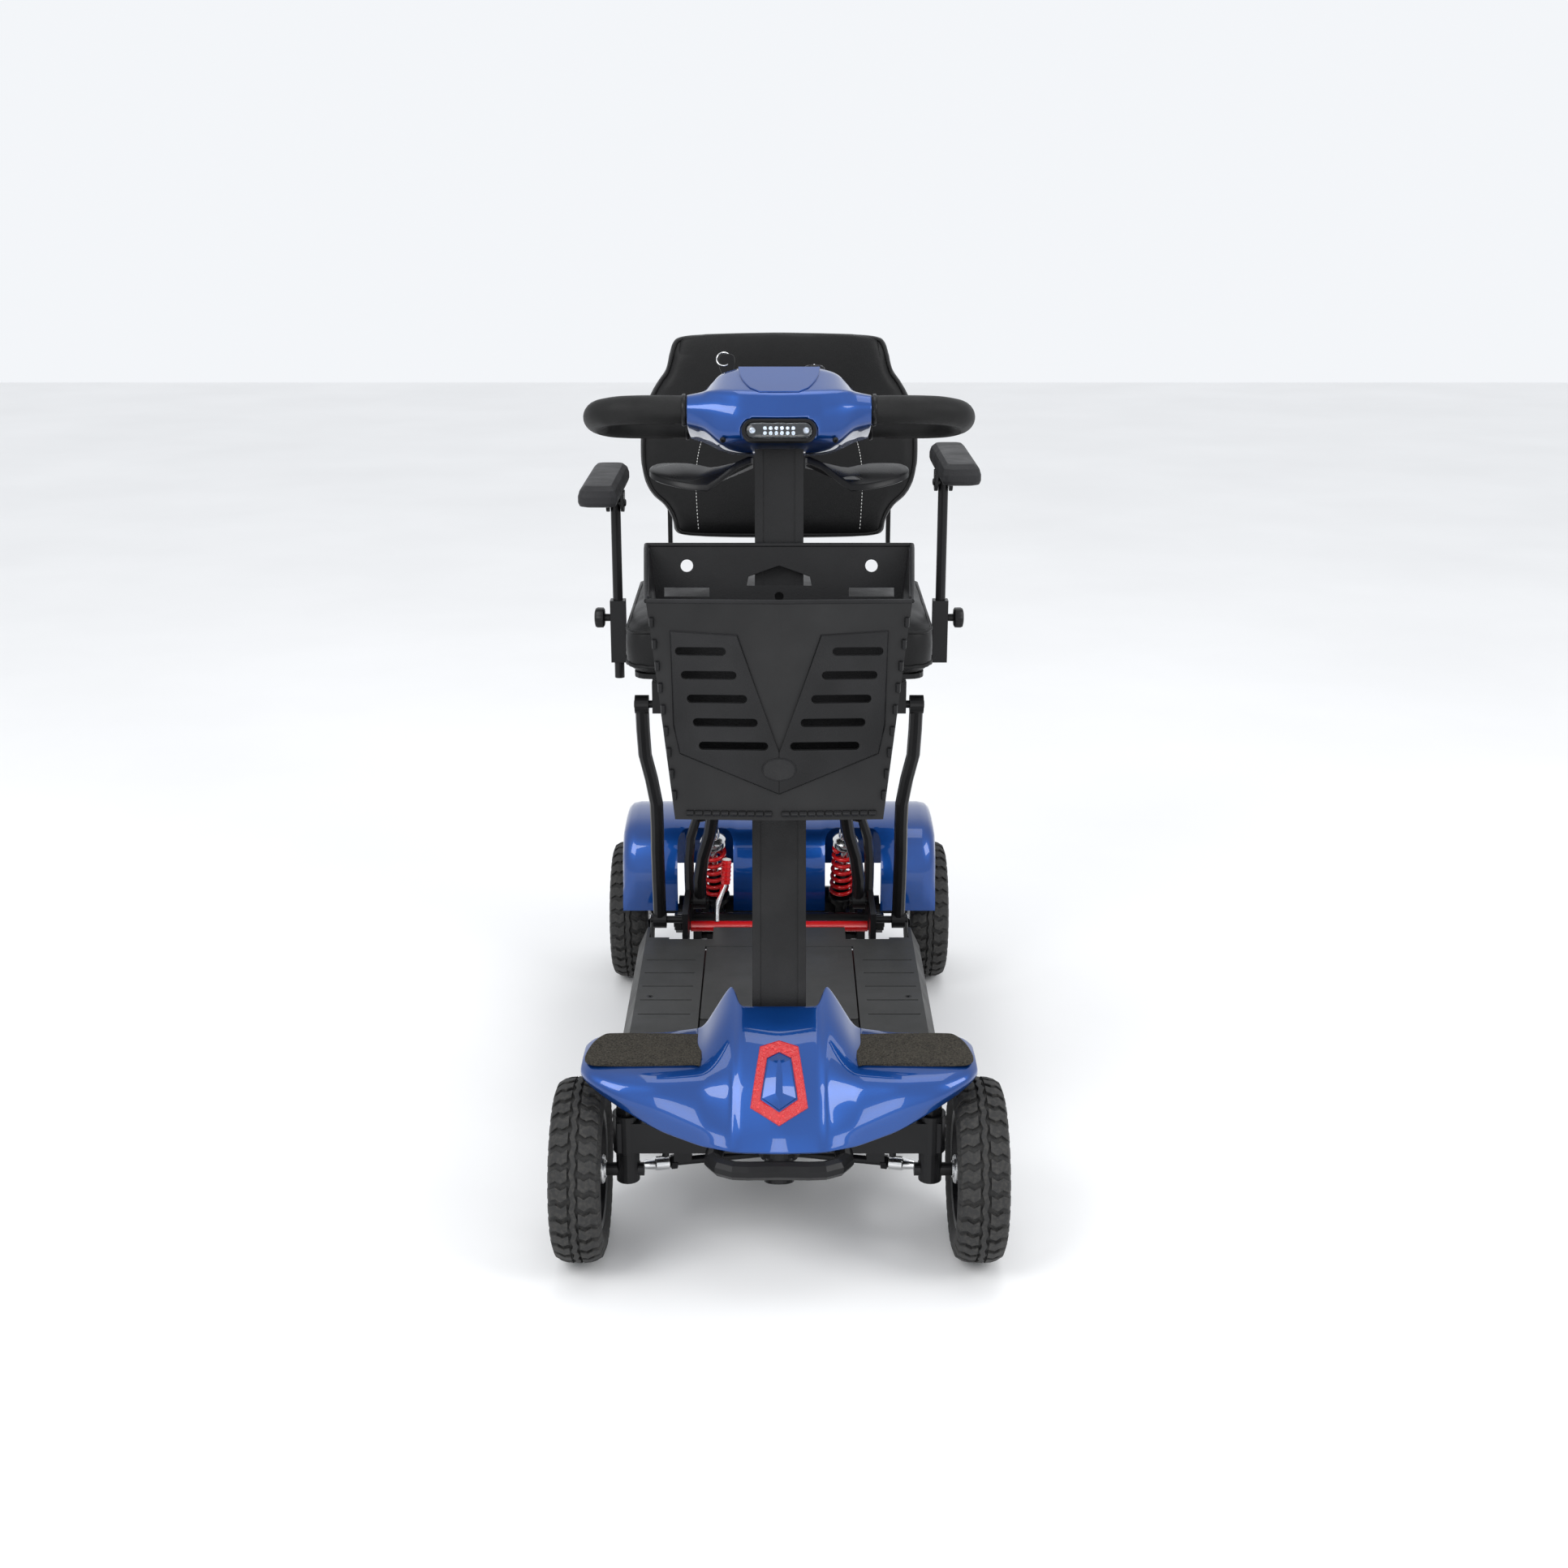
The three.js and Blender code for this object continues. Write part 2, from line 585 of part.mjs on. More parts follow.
function basketFloor() {
  const [y0, z0] = BASKET.frontBottom;
  return sidePlate([[y0 + 15, z0 + 3], [BASKET.backY - 1, BASKET.bottom + 1], [BASKET.backY - 1, BASKET.bottom + 5],
    [y0 + 15, z0 + 7]], -BASKET_BOTTOM_X + 6, BASKET_BOTTOM_X - 6);
}

// ---- front corner: knuckle, tie rod and wheels ----
function knuckle(s) {
  const x = s * KINGPIN_X;
  const span = (a, b) => [Math.min(s * a, s * b), Math.max(s * a, s * b)];
  return carve([
    bar("z", 9, 110, 174, x, -AXLE_Y, 20),
    bar("z", 13, 172 + GAP, 179, x, -AXLE_Y, 6),
    bar("z", 13, 90, 127 - GAP, x, -AXLE_Y, 20),
    bar("x", 7.5, ...span(150, 240), -AXLE_Y, WHEEL_R, 20),
    box(x - 9, x + 9, -AXLE_Y, -AXLE_Y + 52, 90, 96),
  ]);
}

function tieRod(s) {
  const outer = [s * (KINGPIN_X - 2), -AXLE_Y + 44, 82];
  const lower = [s * 14, -322, 80];
  return carve([
    bentBar([lower, [s * 80, -338, 81], outer], 5, 10, 4),
    bar("z", 8, 74, 88, outer[0], outer[1], 16),
    bar("z", 7, 72.5, 84, lower[0], lower[1], 16),
    bentBar([[s * 120, -347.2, 81.4], [s * 160, -356, 82]], 7, 10, 2),
  ]);
}

function tyre() {
  const half = (TYRE_X1 - TYRE_X0) / 2;
  return turned([[-half + 4, RIM_R + GAP], [-half, RIM_R + 9], [-half, 84], [-half + 6, 97], [-half + 15, WHEEL_R],
    [half - 15, WHEEL_R], [half - 6, 97], [half, 84], [half, RIM_R + 9], [half - 4, RIM_R + GAP]]);
}

// A rim with its hub; the hub's bore takes the stub axle, and out is the outer side.
function rim(hubIn) {
  const bore = 7.5 + GAP;
  const disc = turned([[-hubIn, bore], [-hubIn, 17], [-14, 17], [-10, 24], [-4, 30], [-4, 52], [-22, 57],
    [-25, RIM_R], [25, RIM_R], [22, 57], [6, 52], [6, 30], [12, 20], [16, 18], [16, bore]]);
  const cuts = [];
  for (let i = 0; i < 5; i += 1) {
    const turn = ((i + 0.5) / 5) * 2 * Math.PI;
    cuts.push(bar("x", 8, -12, 14, 41 * Math.cos(turn), 41 * Math.sin(turn), 8));
  }
  return carve([disc], cuts);
}

// ---- rear chassis ----
const SWING_PIVOT = [290, 104];
const SHOCK_LOW = [90, 350, 120];
const SHOCK_HIGH = [97, 297, 276];

function rearFrame() {
  const adds = [
    bar("x", 13, -150, 150, 272, 132, 20),
    bentBar([[-127, 274, 136], [-127, 282, 250], [-116, 286, 284], [-60, 286, 290], [60, 286, 290],
      [116, 286, 284], [127, 282, 250], [127, 274, 136]], 7, 8, 18),
  ];
  const cuts = [];
  for (const [, s] of SIDES) {
    const span = (a, b) => [Math.min(s * a, s * b), Math.max(s * a, s * b)];
    adds.push(sidePlate([[203, 146], [211, 139], [262, 120], [276, 124], [276, 142], [225, 162], [212, 166],
      [203, 160]], ...span(137, 145)));
    adds.push(box(...span(112, 132), 272, 340, 118, 146));
    adds.push(box(...span(112, 124), 278, 302, 92, 120));
    adds.push(bar("x", 6, ...span(86, 124), ...SWING_PIVOT, 16));
    cuts.push(bar("x", 6 + GAP, ...span(130, 150), ...FOLD_PIVOT, 16));
  }
  return carve(adds, cuts);
}

function transaxle() {
  const adds = [
    sidePlate([[360, 84], [374, 68], [426, 68], [440, 84], [440, 120], [426, 136], [374, 136], [360, 120]], -62, 62),
    bar("x", 34, 60, 88, AXLE_Y, WHEEL_R, 20),
    bar("x", 20, -150, 150, AXLE_Y, WHEEL_R, 20),
    bar("x", 7.5, -240, 240, AXLE_Y, WHEEL_R, 16),
  ];
  const cuts = [];
  for (const [, s] of SIDES) {
    const span = (a, b) => [Math.min(s * a, s * b), Math.max(s * a, s * b)];
    adds.push(sidePlate([[278, 98], [284, 92], [400, 92], [404, 112], [296, 116], [284, 116], [278, 110]],
      ...span(94, 104)));
    adds.push(box(...span(80, 104), 338, 362, 106, 115));
    cuts.push(bar("x", 6 + GAP, ...span(90, 108), ...SWING_PIVOT, 16));
  }
  return carve(adds, cuts);
}

function shock(s) {
  const low = new THREE.Vector3(s * SHOCK_LOW[0], SHOCK_LOW[1], SHOCK_LOW[2]);
  const high = new THREE.Vector3(s * SHOCK_HIGH[0], SHOCK_HIGH[1], SHOCK_HIGH[2]);
  const long = low.distanceTo(high);
  const points = [[0, 0], [7, 0], [7, 22], [20, 26], [20, long - 34], [12, long - 28], [7, long], [0, long]];
  const body = new THREE.LatheGeometry(points.map(([r, y]) => new THREE.Vector2(r, y)), 16);
  const turn = new THREE.Quaternion().setFromUnitVectors(new THREE.Vector3(0, 1, 0),
    high.clone().sub(low).normalize());
  return body.applyQuaternion(turn).translate(low.x, low.y, low.z);
}

function rearShroud() {
  const outer = [[291, 141], [288, 190], [299, 232], [330, 258], [401, 266], [458, 254], [490, 214], [498, 168],
    [498, 141]];
  const inner = [[295, 130], [292, 190], [302.5, 230], [332, 254], [401, 262], [456, 250.5], [486, 212.5],
    [494, 167], [494, 130]];
  const cuts = [sidePlate(inner, -222, 222)];
  for (const [, s] of SIDES) {
    const span = (a, b) => [Math.min(s * a, s * b), Math.max(s * a, s * b)];
    // open pocket in front for the shock and the legs
    cuts.push(frontPlate(roundRect(...span(66, 146), 100, 256, 12), 270, 330));
    cuts.push(bar("x", 114, ...span(186, 230), AXLE_Y, WHEEL_R, 40));
  }
  return carve([sidePlate(outer, -226, 226)], cuts);
}

function releaseBar() {
  return carve([
    bar("x", 7.5, -125, 125, 228, 142, 18),
    bentBar([[-88, 228, 142], [-88, 234, 168], [-76, 244, 204]], 3.5, 8, 6),
    bentBar([[-76, 244, 200], [-74, 249, 234]], 6.5, 10, 2),
  ]);
}

// ---- seat ----
function legFront(s) {
  const [fy, fz] = LEG_FOOT_FRONT;
  const [dy, dz] = LEG_VECTOR;
  const span = (a, b) => [Math.min(s * a, s * b), Math.max(s * a, s * b)];
  const path = [[165, fy, fz], [165, fy + dy * 0.3, fz + dz * 0.3], [165, fy + dy * 0.6, fz + dz * 0.6],
    [176, fy + dy * 0.76, fz + dz * 0.76], [178, fy + dy, fz + dz]].map(([x, y, z]) => [s * x, y, z]);
  return carve([
    bentBar(path, 9, 10, 9),
    bar("x", 12, ...span(156, 174), fy, fz, 20),
    bar("x", 12, ...span(169, 187), fy + dy, fz + dz, 20),
  ], [
    bar("x", 5 + GAP, ...span(150, 190), fy, fz, 16),
    bar("x", 5 + GAP, ...span(160, 195), fy + dy, fz + dz, 16),
  ]);
}

function legRear(s) {
  const [fy, fz] = LEG_FOOT_REAR;
  const [dy, dz] = LEG_VECTOR;
  const span = (a, b) => [Math.min(s * a, s * b), Math.max(s * a, s * b)];
  const path = [[112, fy, fz], [111, fy + dy * 0.16, fz + dz * 0.16], [92, fy + dy * 0.4, fz + dz * 0.4],
    [90, fy + dy * 0.7, fz + dz * 0.7], [90, fy + dy, fz + dz]].map(([x, y, z]) => [s * x, y, z]);
  return carve([
    bentBar(path, 9, 10, 9),
    bar("x", 12, ...span(104, 122), fy, fz, 20),
    bar("x", 12, ...span(81, 99), fy + dy, fz + dz, 20),
  ], [
    bar("x", 5 + GAP, ...span(98, 126), fy, fz, 16),
    // the upper eye is open: it clears the pin, and the coupling keeps it in line
    bar("x", 5 + GAP, ...span(76, 104), fy + dy, fz + dz, 16),
  ]);
}

function seatFrame() {
  const fy = LEG_FOOT_FRONT[0] + LEG_VECTOR[0];
  const ry = LEG_FOOT_REAR[0] + LEG_VECTOR[0];
  const z = LEG_FOOT_FRONT[1] + LEG_VECTOR[1];
  const adds = [
    box(-150, 150, 100, 118, 518, 532),
    box(-150, 150, 330, 348, 518, 532),
    box(-60, 60, 116, 332, 526, 534),
  ];
  for (const [, s] of SIDES) {
    const span = (a, b) => [Math.min(s * a, s * b), Math.max(s * a, s * b)];
    adds.push(box(...span(134, 150), 100, 348, 516, 534));
    adds.push(sidePlate([[90, 492], [112, 492], [124, 520], [124, 534], [90, 534]], ...span(148, 164)));
    adds.push(bar("x", 5, ...span(150, 188), fy, z, 16));
    adds.push(sidePlate([[162, 492], [182, 492], [188, 520], [188, 530], [156, 530], [156, 520]], ...span(103, 109)));
    adds.push(box(...span(58, 136), 160, 184, 526, 533));
    adds.push(bar("x", 5, ...span(80, 106), ry, z, 16));
  }
  return carve(adds);
}

function seatPan() {
  const adds = [
    bar("z", 58, 534 + GAP, 542, 0, 232, 28),
    plate(roundRect(-186, 186, 78, 392, 20), 541, SEAT_Z[0] - GAP),
  ];
  const cuts = [];
  for (const [, s] of SIDES) {
    const span = (a, b) => [Math.min(s * a, s * b), Math.max(s * a, s * b)];
    adds.push(box(...span(160, 222), POST_Y - 10, POST_Y + 8, 541, SEAT_Z[0] - GAP));
    adds.push(box(...span(202, 222), POST_Y - 10, POST_Y + 8, 541, 624));
    adds.push(sidePlate([[380, 541], [424, 541], [424, BACK_HINGE[1] + 14], [408, BACK_HINGE[1] + 14], [408, SEAT_Z[0] - GAP],
      [380, SEAT_Z[0] - GAP]], ...span(152, 158)));
    cuts.push(bar("z", 6.5 + GAP, 530, 640, s * POST_X, POST_Y - 1, 16));
    cuts.push(bar("x", 5 + GAP, ...span(140, 170), ...BACK_HINGE, 16));
  }
  return carve(adds, cuts);
}

function cushion(x, y0, y1, z0, z1, corner) {
  const shape = new THREE.Shape(roundRect(-x + 8, x - 8, y0 + 8, y1 - 8, corner)
    .map(([a, b]) => new THREE.Vector2(a, b)));
  const depth = z1 - z0 - 16;
  return at(new THREE.ExtrudeGeometry(shape, { depth, bevelEnabled: true, bevelThickness: 8, bevelSize: 8,
    bevelSegments: 2 }), 0, 0, z0 + 8);
}

// The backrest stands in its own frame: +Y is up its back, hinged at the origin.
const backrest = new THREE.Group();
backrest.position.set(0, ...BACK_HINGE);
backrest.rotation.x = -6 * RAD;
scooter.add(backrest);

function backFrame() {
  const adds = [bentBar([[-138, 0, -6], [-138, 0, 110], [-126, 0, 190], [-90, 0, 214], [90, 0, 214],
    [126, 0, 190], [138, 0, 110], [138, 0, -6]], 7, 8, 18)];
  for (const [, s] of SIDES) {
    adds.push(bar("x", 5, Math.min(s * 136, s * 158), Math.max(s * 136, s * 158), 0, 0, 16));
  }
  return carve(adds);
}

function backCushion() {
  const half = [[146, -33], [148, 8], [180, 22], [193, 44], [196, 86], [188, 140], [165, 184], [146, 228],
    [128, 236]];
  const outline = [...half.map(([x, z]) => [-x, z]).reverse(), ...half];
  const shape = new THREE.Shape(outline.map(([x, z]) => new THREE.Vector2(x * 0.96, z)));
  const body = new THREE.ExtrudeGeometry(shape, { depth: 34, bevelEnabled: true, bevelThickness: 8, bevelSize: 7,
    bevelSegments: 2 });
  return body.rotateX(Math.PI / 2).translate(0, -23, 0);
}

// Armrests; the right one stands one notch lower than the left one.
const NOTCH = 27;
const PAD_Z = [790, 818];
const PAD_PIVOT_Z = 779;

function armPost(s) {
  const drop = s > 0 ? 0 : NOTCH;
  const x = s * POST_X;
  return carve([
    bar("z", 6.5, 546 - drop, PAD_PIVOT_Z + 8 - drop, x, POST_Y - 1, 14),
    bar("x", 5, x - 12.5, x + 12.5, POST_Y - 1, PAD_PIVOT_Z - drop, 14),
  ]);
}

function armPad(s) {
  const drop = s > 0 ? 0 : NOTCH;
  const x0 = Math.min(s * 200, s * 250);
  const shape = new THREE.Shape(roundRect(x0 + 5, x0 + 45, 59, 279, 9).map(([x, y]) => new THREE.Vector2(x, y)));
  const pad = at(new THREE.ExtrudeGeometry(shape, { depth: PAD_Z[1] - PAD_Z[0] - 10, bevelEnabled: true,
    bevelThickness: 5, bevelSize: 5, bevelSegments: 2 }), 0, 0, PAD_Z[0] + 5 - drop);
  const adds = [pad];
  const cuts = [];
  for (const side of [-1, 1]) {
    const x = s * POST_X + side * 9.5;
    adds.push(sidePlate([[162, 772], [168, 768], [182, 768], [188, 776], [188, 794], [162, 794]]
      .map(([y, z]) => [y, z - drop]), x - 2.2, x + 2.2));
    cuts.push(bar("x", 5 + GAP, x - 4, x + 4, POST_Y - 1, PAD_PIVOT_Z - drop, 16));
  }
  return carve(adds, cuts);
}

function armKnob(s) {
  const span = (a, b) => [Math.min(s * a, s * b), Math.max(s * a, s * b)];
  return carve([bar("x", 5, ...span(222 + GAP, 232), POST_Y - 1, 600, 12),
    bar("x", 14, ...span(230, 243), POST_Y - 1, 600, 8)]);
}

// ---- assembly ----
function buildScooter() {
  place("deck_frame", deckFrame(), BLACK_METAL);
  place("footboard", footboard(), DECK_GREY);
  place("battery_pack", batteryPack(), BLACK_PLASTIC);
  place("battery_lid", batteryLid(), DECK_GREY);
  place("lid_latch", lidLatch(), BLACK_PLASTIC);
  place("front_axle_beam", axleBeam(), BLACK_METAL);
  place("front_bumper", bumper(), BLACK_METAL);
  place("front_cowl", frontCowl(), BLUE);
  place("front_reflector", reflector(), RED);

  place("steering_column", steeringColumn(), BLACK_METAL, tiller);
  place("mast_lower", mastLower(), BLACK_METAL, tiller);
  place("height_clamp", heightClamp(), BLACK_PLASTIC, tiller);
  place("mast_upper", mastUpper(), BLACK_METAL, tiller);
  place("tiller_head", tillerHead(), BLUE, tiller);
  place("headlight", headlight(), CLEAR, tiller);
  place("throttle_lever", throttleLever(), BLACK_PLASTIC, tiller);
  place("ignition_key", ignitionKey(), BLACK_PLASTIC, tiller);
  place("speed_dial", speedDial(), BLACK_PLASTIC, tiller);
  place("basket_back", basketBack(), BLACK_PLASTIC, tiller);
  place("basket_front", basketFront(), BLACK_PLASTIC, tiller);
  place("basket_floor", basketFloor(), BLACK_PLASTIC, tiller);

  place("rear_frame", rearFrame(), BLACK_METAL);
  place("transaxle", transaxle(), BLACK_METAL);
  place("rear_shroud", rearShroud(), BLUE);
  place("fold_release_bar", releaseBar(), RED);
  place("seat_frame", seatFrame(), BLACK_METAL);
  place("seat_pan", seatPan(), BLACK_METAL);
  place("seat_cushion", cushion(SEAT_X, ...SEAT_Y, ...SEAT_Z, 26), VINYL);
  place("backrest_frame", backFrame(), BLACK_METAL, backrest);
  place("backrest_cushion", backCushion(), VINYL, backrest);

  for (const [side, s] of SIDES) {
    place(`grip_pad_${side}`, gripPad(s), GRIT);
    place(`knuckle_${side}`, knuckle(s), BLACK_METAL);
    place(`tie_rod_${side}`, tieRod(s), CHROME);
    place(`handlebar_${side}`, handlebar(s), RUBBER, tiller);
    place(`basket_${side}`, basketSide(s), BLACK_PLASTIC, tiller);
    place(`shock_${side}`, shock(s), RED);
    place(`front_leg_${side}`, legFront(s), BLACK_METAL);
    place(`rear_leg_${side}`, legRear(s), BLACK_METAL);
    place(`armrest_post_${side}`, armPost(s), BLACK_METAL);
    place(`armrest_pad_${side}`, armPad(s), BLACK_PLASTIC);
    place(`armrest_knob_${side}`, armKnob(s), BLACK_PLASTIC);
    for (const [end, y] of [["front", -AXLE_Y], ["rear", AXLE_Y]]) {
      const middle = (TYRE_X0 + TYRE_X1) / 2;
      const tyreMesh = place(`tyre_${end}_${side}`, tyre(), RUBBER);
      tyreMesh.position.set(s * middle, y, WHEEL_R);
      const rimMesh = place(`rim_${end}_${side}`, rim(28), end === "front" ? CHROME : BLACK_METAL);
      rimMesh.position.set(s * middle, y, WHEEL_R);
      rimMesh.rotation.z = s > 0 ? 0 : Math.PI;
    }
  }
}

buildScooter();
export default scooter;
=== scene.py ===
"""A folding mobility scooter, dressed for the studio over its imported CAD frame."""

import bpy
import bmesh
import json
import math
from mathutils import Matrix, Vector


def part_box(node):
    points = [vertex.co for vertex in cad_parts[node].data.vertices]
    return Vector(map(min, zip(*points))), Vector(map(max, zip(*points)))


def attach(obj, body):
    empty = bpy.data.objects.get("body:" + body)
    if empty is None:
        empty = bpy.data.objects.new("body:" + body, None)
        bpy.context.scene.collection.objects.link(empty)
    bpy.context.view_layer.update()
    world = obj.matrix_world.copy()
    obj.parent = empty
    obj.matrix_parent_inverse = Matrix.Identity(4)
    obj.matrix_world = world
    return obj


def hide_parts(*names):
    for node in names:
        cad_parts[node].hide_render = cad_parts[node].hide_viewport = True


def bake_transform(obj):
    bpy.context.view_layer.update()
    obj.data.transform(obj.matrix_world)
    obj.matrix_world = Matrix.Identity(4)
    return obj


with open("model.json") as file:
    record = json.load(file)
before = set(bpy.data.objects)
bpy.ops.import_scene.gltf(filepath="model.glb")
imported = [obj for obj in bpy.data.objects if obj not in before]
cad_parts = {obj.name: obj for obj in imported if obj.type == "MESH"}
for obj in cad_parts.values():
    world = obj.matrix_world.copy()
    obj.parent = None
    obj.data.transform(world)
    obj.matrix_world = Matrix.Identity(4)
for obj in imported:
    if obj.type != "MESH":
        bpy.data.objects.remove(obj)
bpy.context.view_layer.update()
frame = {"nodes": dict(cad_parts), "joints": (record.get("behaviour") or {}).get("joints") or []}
nodes = frame["nodes"]
scene = bpy.context.scene
MM = 0.001
TURN = 2 * math.pi
EDGE = 0.0009  # radius of the rounding that every finish gives its edges
SPECULAR = 0.2
SIDES = (("left", 1), ("right", -1))
BACK_LEAN = math.radians(-6)

# ---- driving places, worked out from the frame ----
TYRE_LOW, TYRE_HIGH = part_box("tyre_front_left")
WHEEL_R = TYRE_HIGH[2] / 2
AXLE_Y = -(TYRE_LOW[1] + WHEEL_R)
TYRE_WIDE = TYRE_HIGH[0] - TYRE_LOW[0]
TYRE_X = (TYRE_HIGH[0] + TYRE_LOW[0]) / 2
JOINTS = {joint["name"]: joint for joint in frame["joints"]}
LEAN = math.atan2(JOINTS["tiller_steer"]["axis"][1], JOINTS["tiller_steer"]["axis"][2])
TILLER = Matrix.Translation(JOINTS["tiller_steer"]["pos_m"]) @ Matrix.Rotation(-LEAN, 4, "X")
BACK = Matrix.Translation(JOINTS["backrest_fold"]["pos_m"]) @ Matrix.Rotation(BACK_LEAN, 4, "X")


# ---- materials ----
def new_material(name):
    material = bpy.data.materials.new(name)
    material.use_nodes = True
    tree = material.node_tree
    shader = tree.nodes["Principled BSDF"]
    place = tree.nodes.new("ShaderNodeTexCoord").outputs["Object"]
    return material, tree, shader, place


def texture(tree, place, kind, scale, detail=4.0, feature=None):
    node = tree.nodes.new(f"ShaderNodeTex{kind}")
    node.inputs["Scale"].default_value = scale
    if "Detail" in node.inputs:
        node.inputs["Detail"].default_value = detail
    if feature:
        node.feature = feature
    tree.links.new(place, node.inputs["Vector"])
    return node.outputs["Distance" if kind == "Voronoi" else "Fac"]


def ramp(tree, value, low, high, start=0.3, end=0.7):
    node = tree.nodes.new("ShaderNodeValToRGB")
    node.color_ramp.elements[0].position = start
    node.color_ramp.elements[1].position = end
    node.color_ramp.elements[0].color = (*low, 1)
    node.color_ramp.elements[1].color = (*high, 1)
    tree.links.new(value, node.inputs["Fac"])
    return node.outputs["Color"]


def spread(tree, value, low, high, source=(0.3, 0.7)):
    node = tree.nodes.new("ShaderNodeMapRange")
    node.inputs["From Min"].default_value = source[0]
    node.inputs["From Max"].default_value = source[1]
    node.inputs["To Min"].default_value = low
    node.inputs["To Max"].default_value = high
    tree.links.new(value, node.inputs["Value"])
    return node.outputs["Result"]


def bump(tree, heights, shader):
    """Stacks bump maps, each (height output, strength, depth in metres), on softly rounded edges."""
    edge = tree.nodes.new("ShaderNodeBevel")
    edge.samples = 4
    edge.inputs["Radius"].default_value = EDGE
    last = edge.outputs["Normal"]
    for height, strength, depth in heights:
        node = tree.nodes.new("ShaderNodeBump")
        node.inputs["Strength"].default_value = strength
        node.inputs["Distance"].default_value = depth
        tree.links.new(height, node.inputs["Height"])
        tree.links.new(last, node.inputs["Normal"])
        last = node.outputs["Normal"]
    tree.links.new(last, shader.inputs["Normal"])


def surface(name, low, high, rough, metal, grain, blotch, coat=0.0, coat_rough=0.05):
    """A finish with two colours mixed by a broad cloud, uneven roughness and layers of grain."""
    material, tree, shader, place = new_material(name)
    cloud = texture(tree, place, "Noise", blotch, 6)
    tree.links.new(ramp(tree, cloud, low, high), shader.inputs["Base Color"])
    smear = texture(tree, place, "Noise", blotch * 2.6, 5)
    tree.links.new(spread(tree, smear, rough[0], rough[1]), shader.inputs["Roughness"])
    shader.inputs["Metallic"].default_value = metal
    shader.inputs["Specular IOR Level"].default_value = SPECULAR
    shader.inputs["Coat Weight"].default_value = coat
    shader.inputs["Coat Roughness"].default_value = coat_rough
    bump(tree, [(texture(tree, place, kind, scale, 3), strength, depth)
                for kind, scale, strength, depth in grain], shader)
    return material


def blue_lacquer():
    """Metallic blue: fine flakes under a clear coat with a trace of orange peel."""
    material, tree, shader, place = new_material("blue_lacquer")
    flake = texture(tree, place, "Voronoi", 2600)
    cloud = texture(tree, place, "Noise", 5, 3)
    fine = ramp(tree, flake, (0.002, 0.20, 0.62), (0.0005, 0.055, 0.27), 0.05, 0.75)
    deep = ramp(tree, cloud, (0.72, 0.72, 0.76), (1.0, 1.0, 1.0))
    mix = tree.nodes.new("ShaderNodeMix")
    mix.data_type = "RGBA"
    mix.blend_type = "MULTIPLY"
    mix.inputs["Factor"].default_value = 1.0
    tree.links.new(fine, mix.inputs["A"])
    tree.links.new(deep, mix.inputs["B"])
    tree.links.new(mix.outputs["Result"], shader.inputs["Base Color"])
    shader.inputs["Metallic"].default_value = 0.82
    tree.links.new(spread(tree, flake, 0.24, 0.40, (0, 1)), shader.inputs["Roughness"])
    shader.inputs["Coat Weight"].default_value = 1.0
    shader.inputs["Coat Roughness"].default_value = 0.03
    peel = texture(tree, place, "Noise", 220, 2)
    bump(tree, [(flake, 0.05, 0.0002), (peel, 0.05, 0.0004)], shader)
    return material


def red_prism_painted_glow():
    """Moulded reflector: small hexagonal cells under a clear red face, with a faint painted glow."""
    material, tree, shader, place = new_material("red_prism_painted_glow")
    cell = texture(tree, place, "Voronoi", 210)
    edge = texture(tree, place, "Voronoi", 210, feature="DISTANCE_TO_EDGE")
    tree.links.new(ramp(tree, cell, (0.95, 0.03, 0.03), (0.45, 0.002, 0.006), 0.1, 0.8),
                   shader.inputs["Base Color"])
    shader.inputs["Roughness"].default_value = 0.12
    shader.inputs["Coat Weight"].default_value = 0.7
    # painted glow: a faint red emission stands in for the light the reflector sends back; it is no lamp
    shader.inputs["Emission Color"].default_value = (0.8, 0.01, 0.01, 1)
    shader.inputs["Emission Strength"].default_value = 0.06
    bump(tree, [(cell, 0.9, 0.0014), (edge, 0.5, 0.0006)], shader)
    return material


def clear_lens():
    material, tree, shader, place = new_material("clear_lens")
    flute = texture(tree, place, "Noise", 160, 2)
    shader.inputs["Base Color"].default_value = (0.9, 0.95, 1.0, 1)
    tree.links.new(spread(tree, flute, 0.02, 0.09), shader.inputs["Roughness"])
    shader.inputs["Transmission Weight"].default_value = 1.0
    shader.inputs["IOR"].default_value = 1.46
    bump(tree, [(flute, 0.1, 0.0006)], shader)
    return material


def worn_rubber():
    """Tread rubber: dull black, greyer where dust sits on raised edges."""
    material, tree, shader, place = new_material("tread_rubber")
    edges = tree.nodes.new("ShaderNodeNewGeometry").outputs["Pointiness"]
    dust = texture(tree, place, "Noise", 240, 8)
    product = tree.nodes.new("ShaderNodeMath")
    product.operation = "MULTIPLY"
    tree.links.new(edges, product.inputs[0])
    tree.links.new(dust, product.inputs[1])
    tree.links.new(ramp(tree, product.outputs[0], (0.010, 0.010, 0.010), (0.042, 0.040, 0.037), 0.24, 0.42),
                   shader.inputs["Base Color"])
    tree.links.new(spread(tree, dust, 0.62, 0.88), shader.inputs["Roughness"])
    grain = texture(tree, place, "Noise", 900, 3)
    bump(tree, [(dust, 0.2, 0.0006), (grain, 0.35, 0.0003)], shader)
    return material


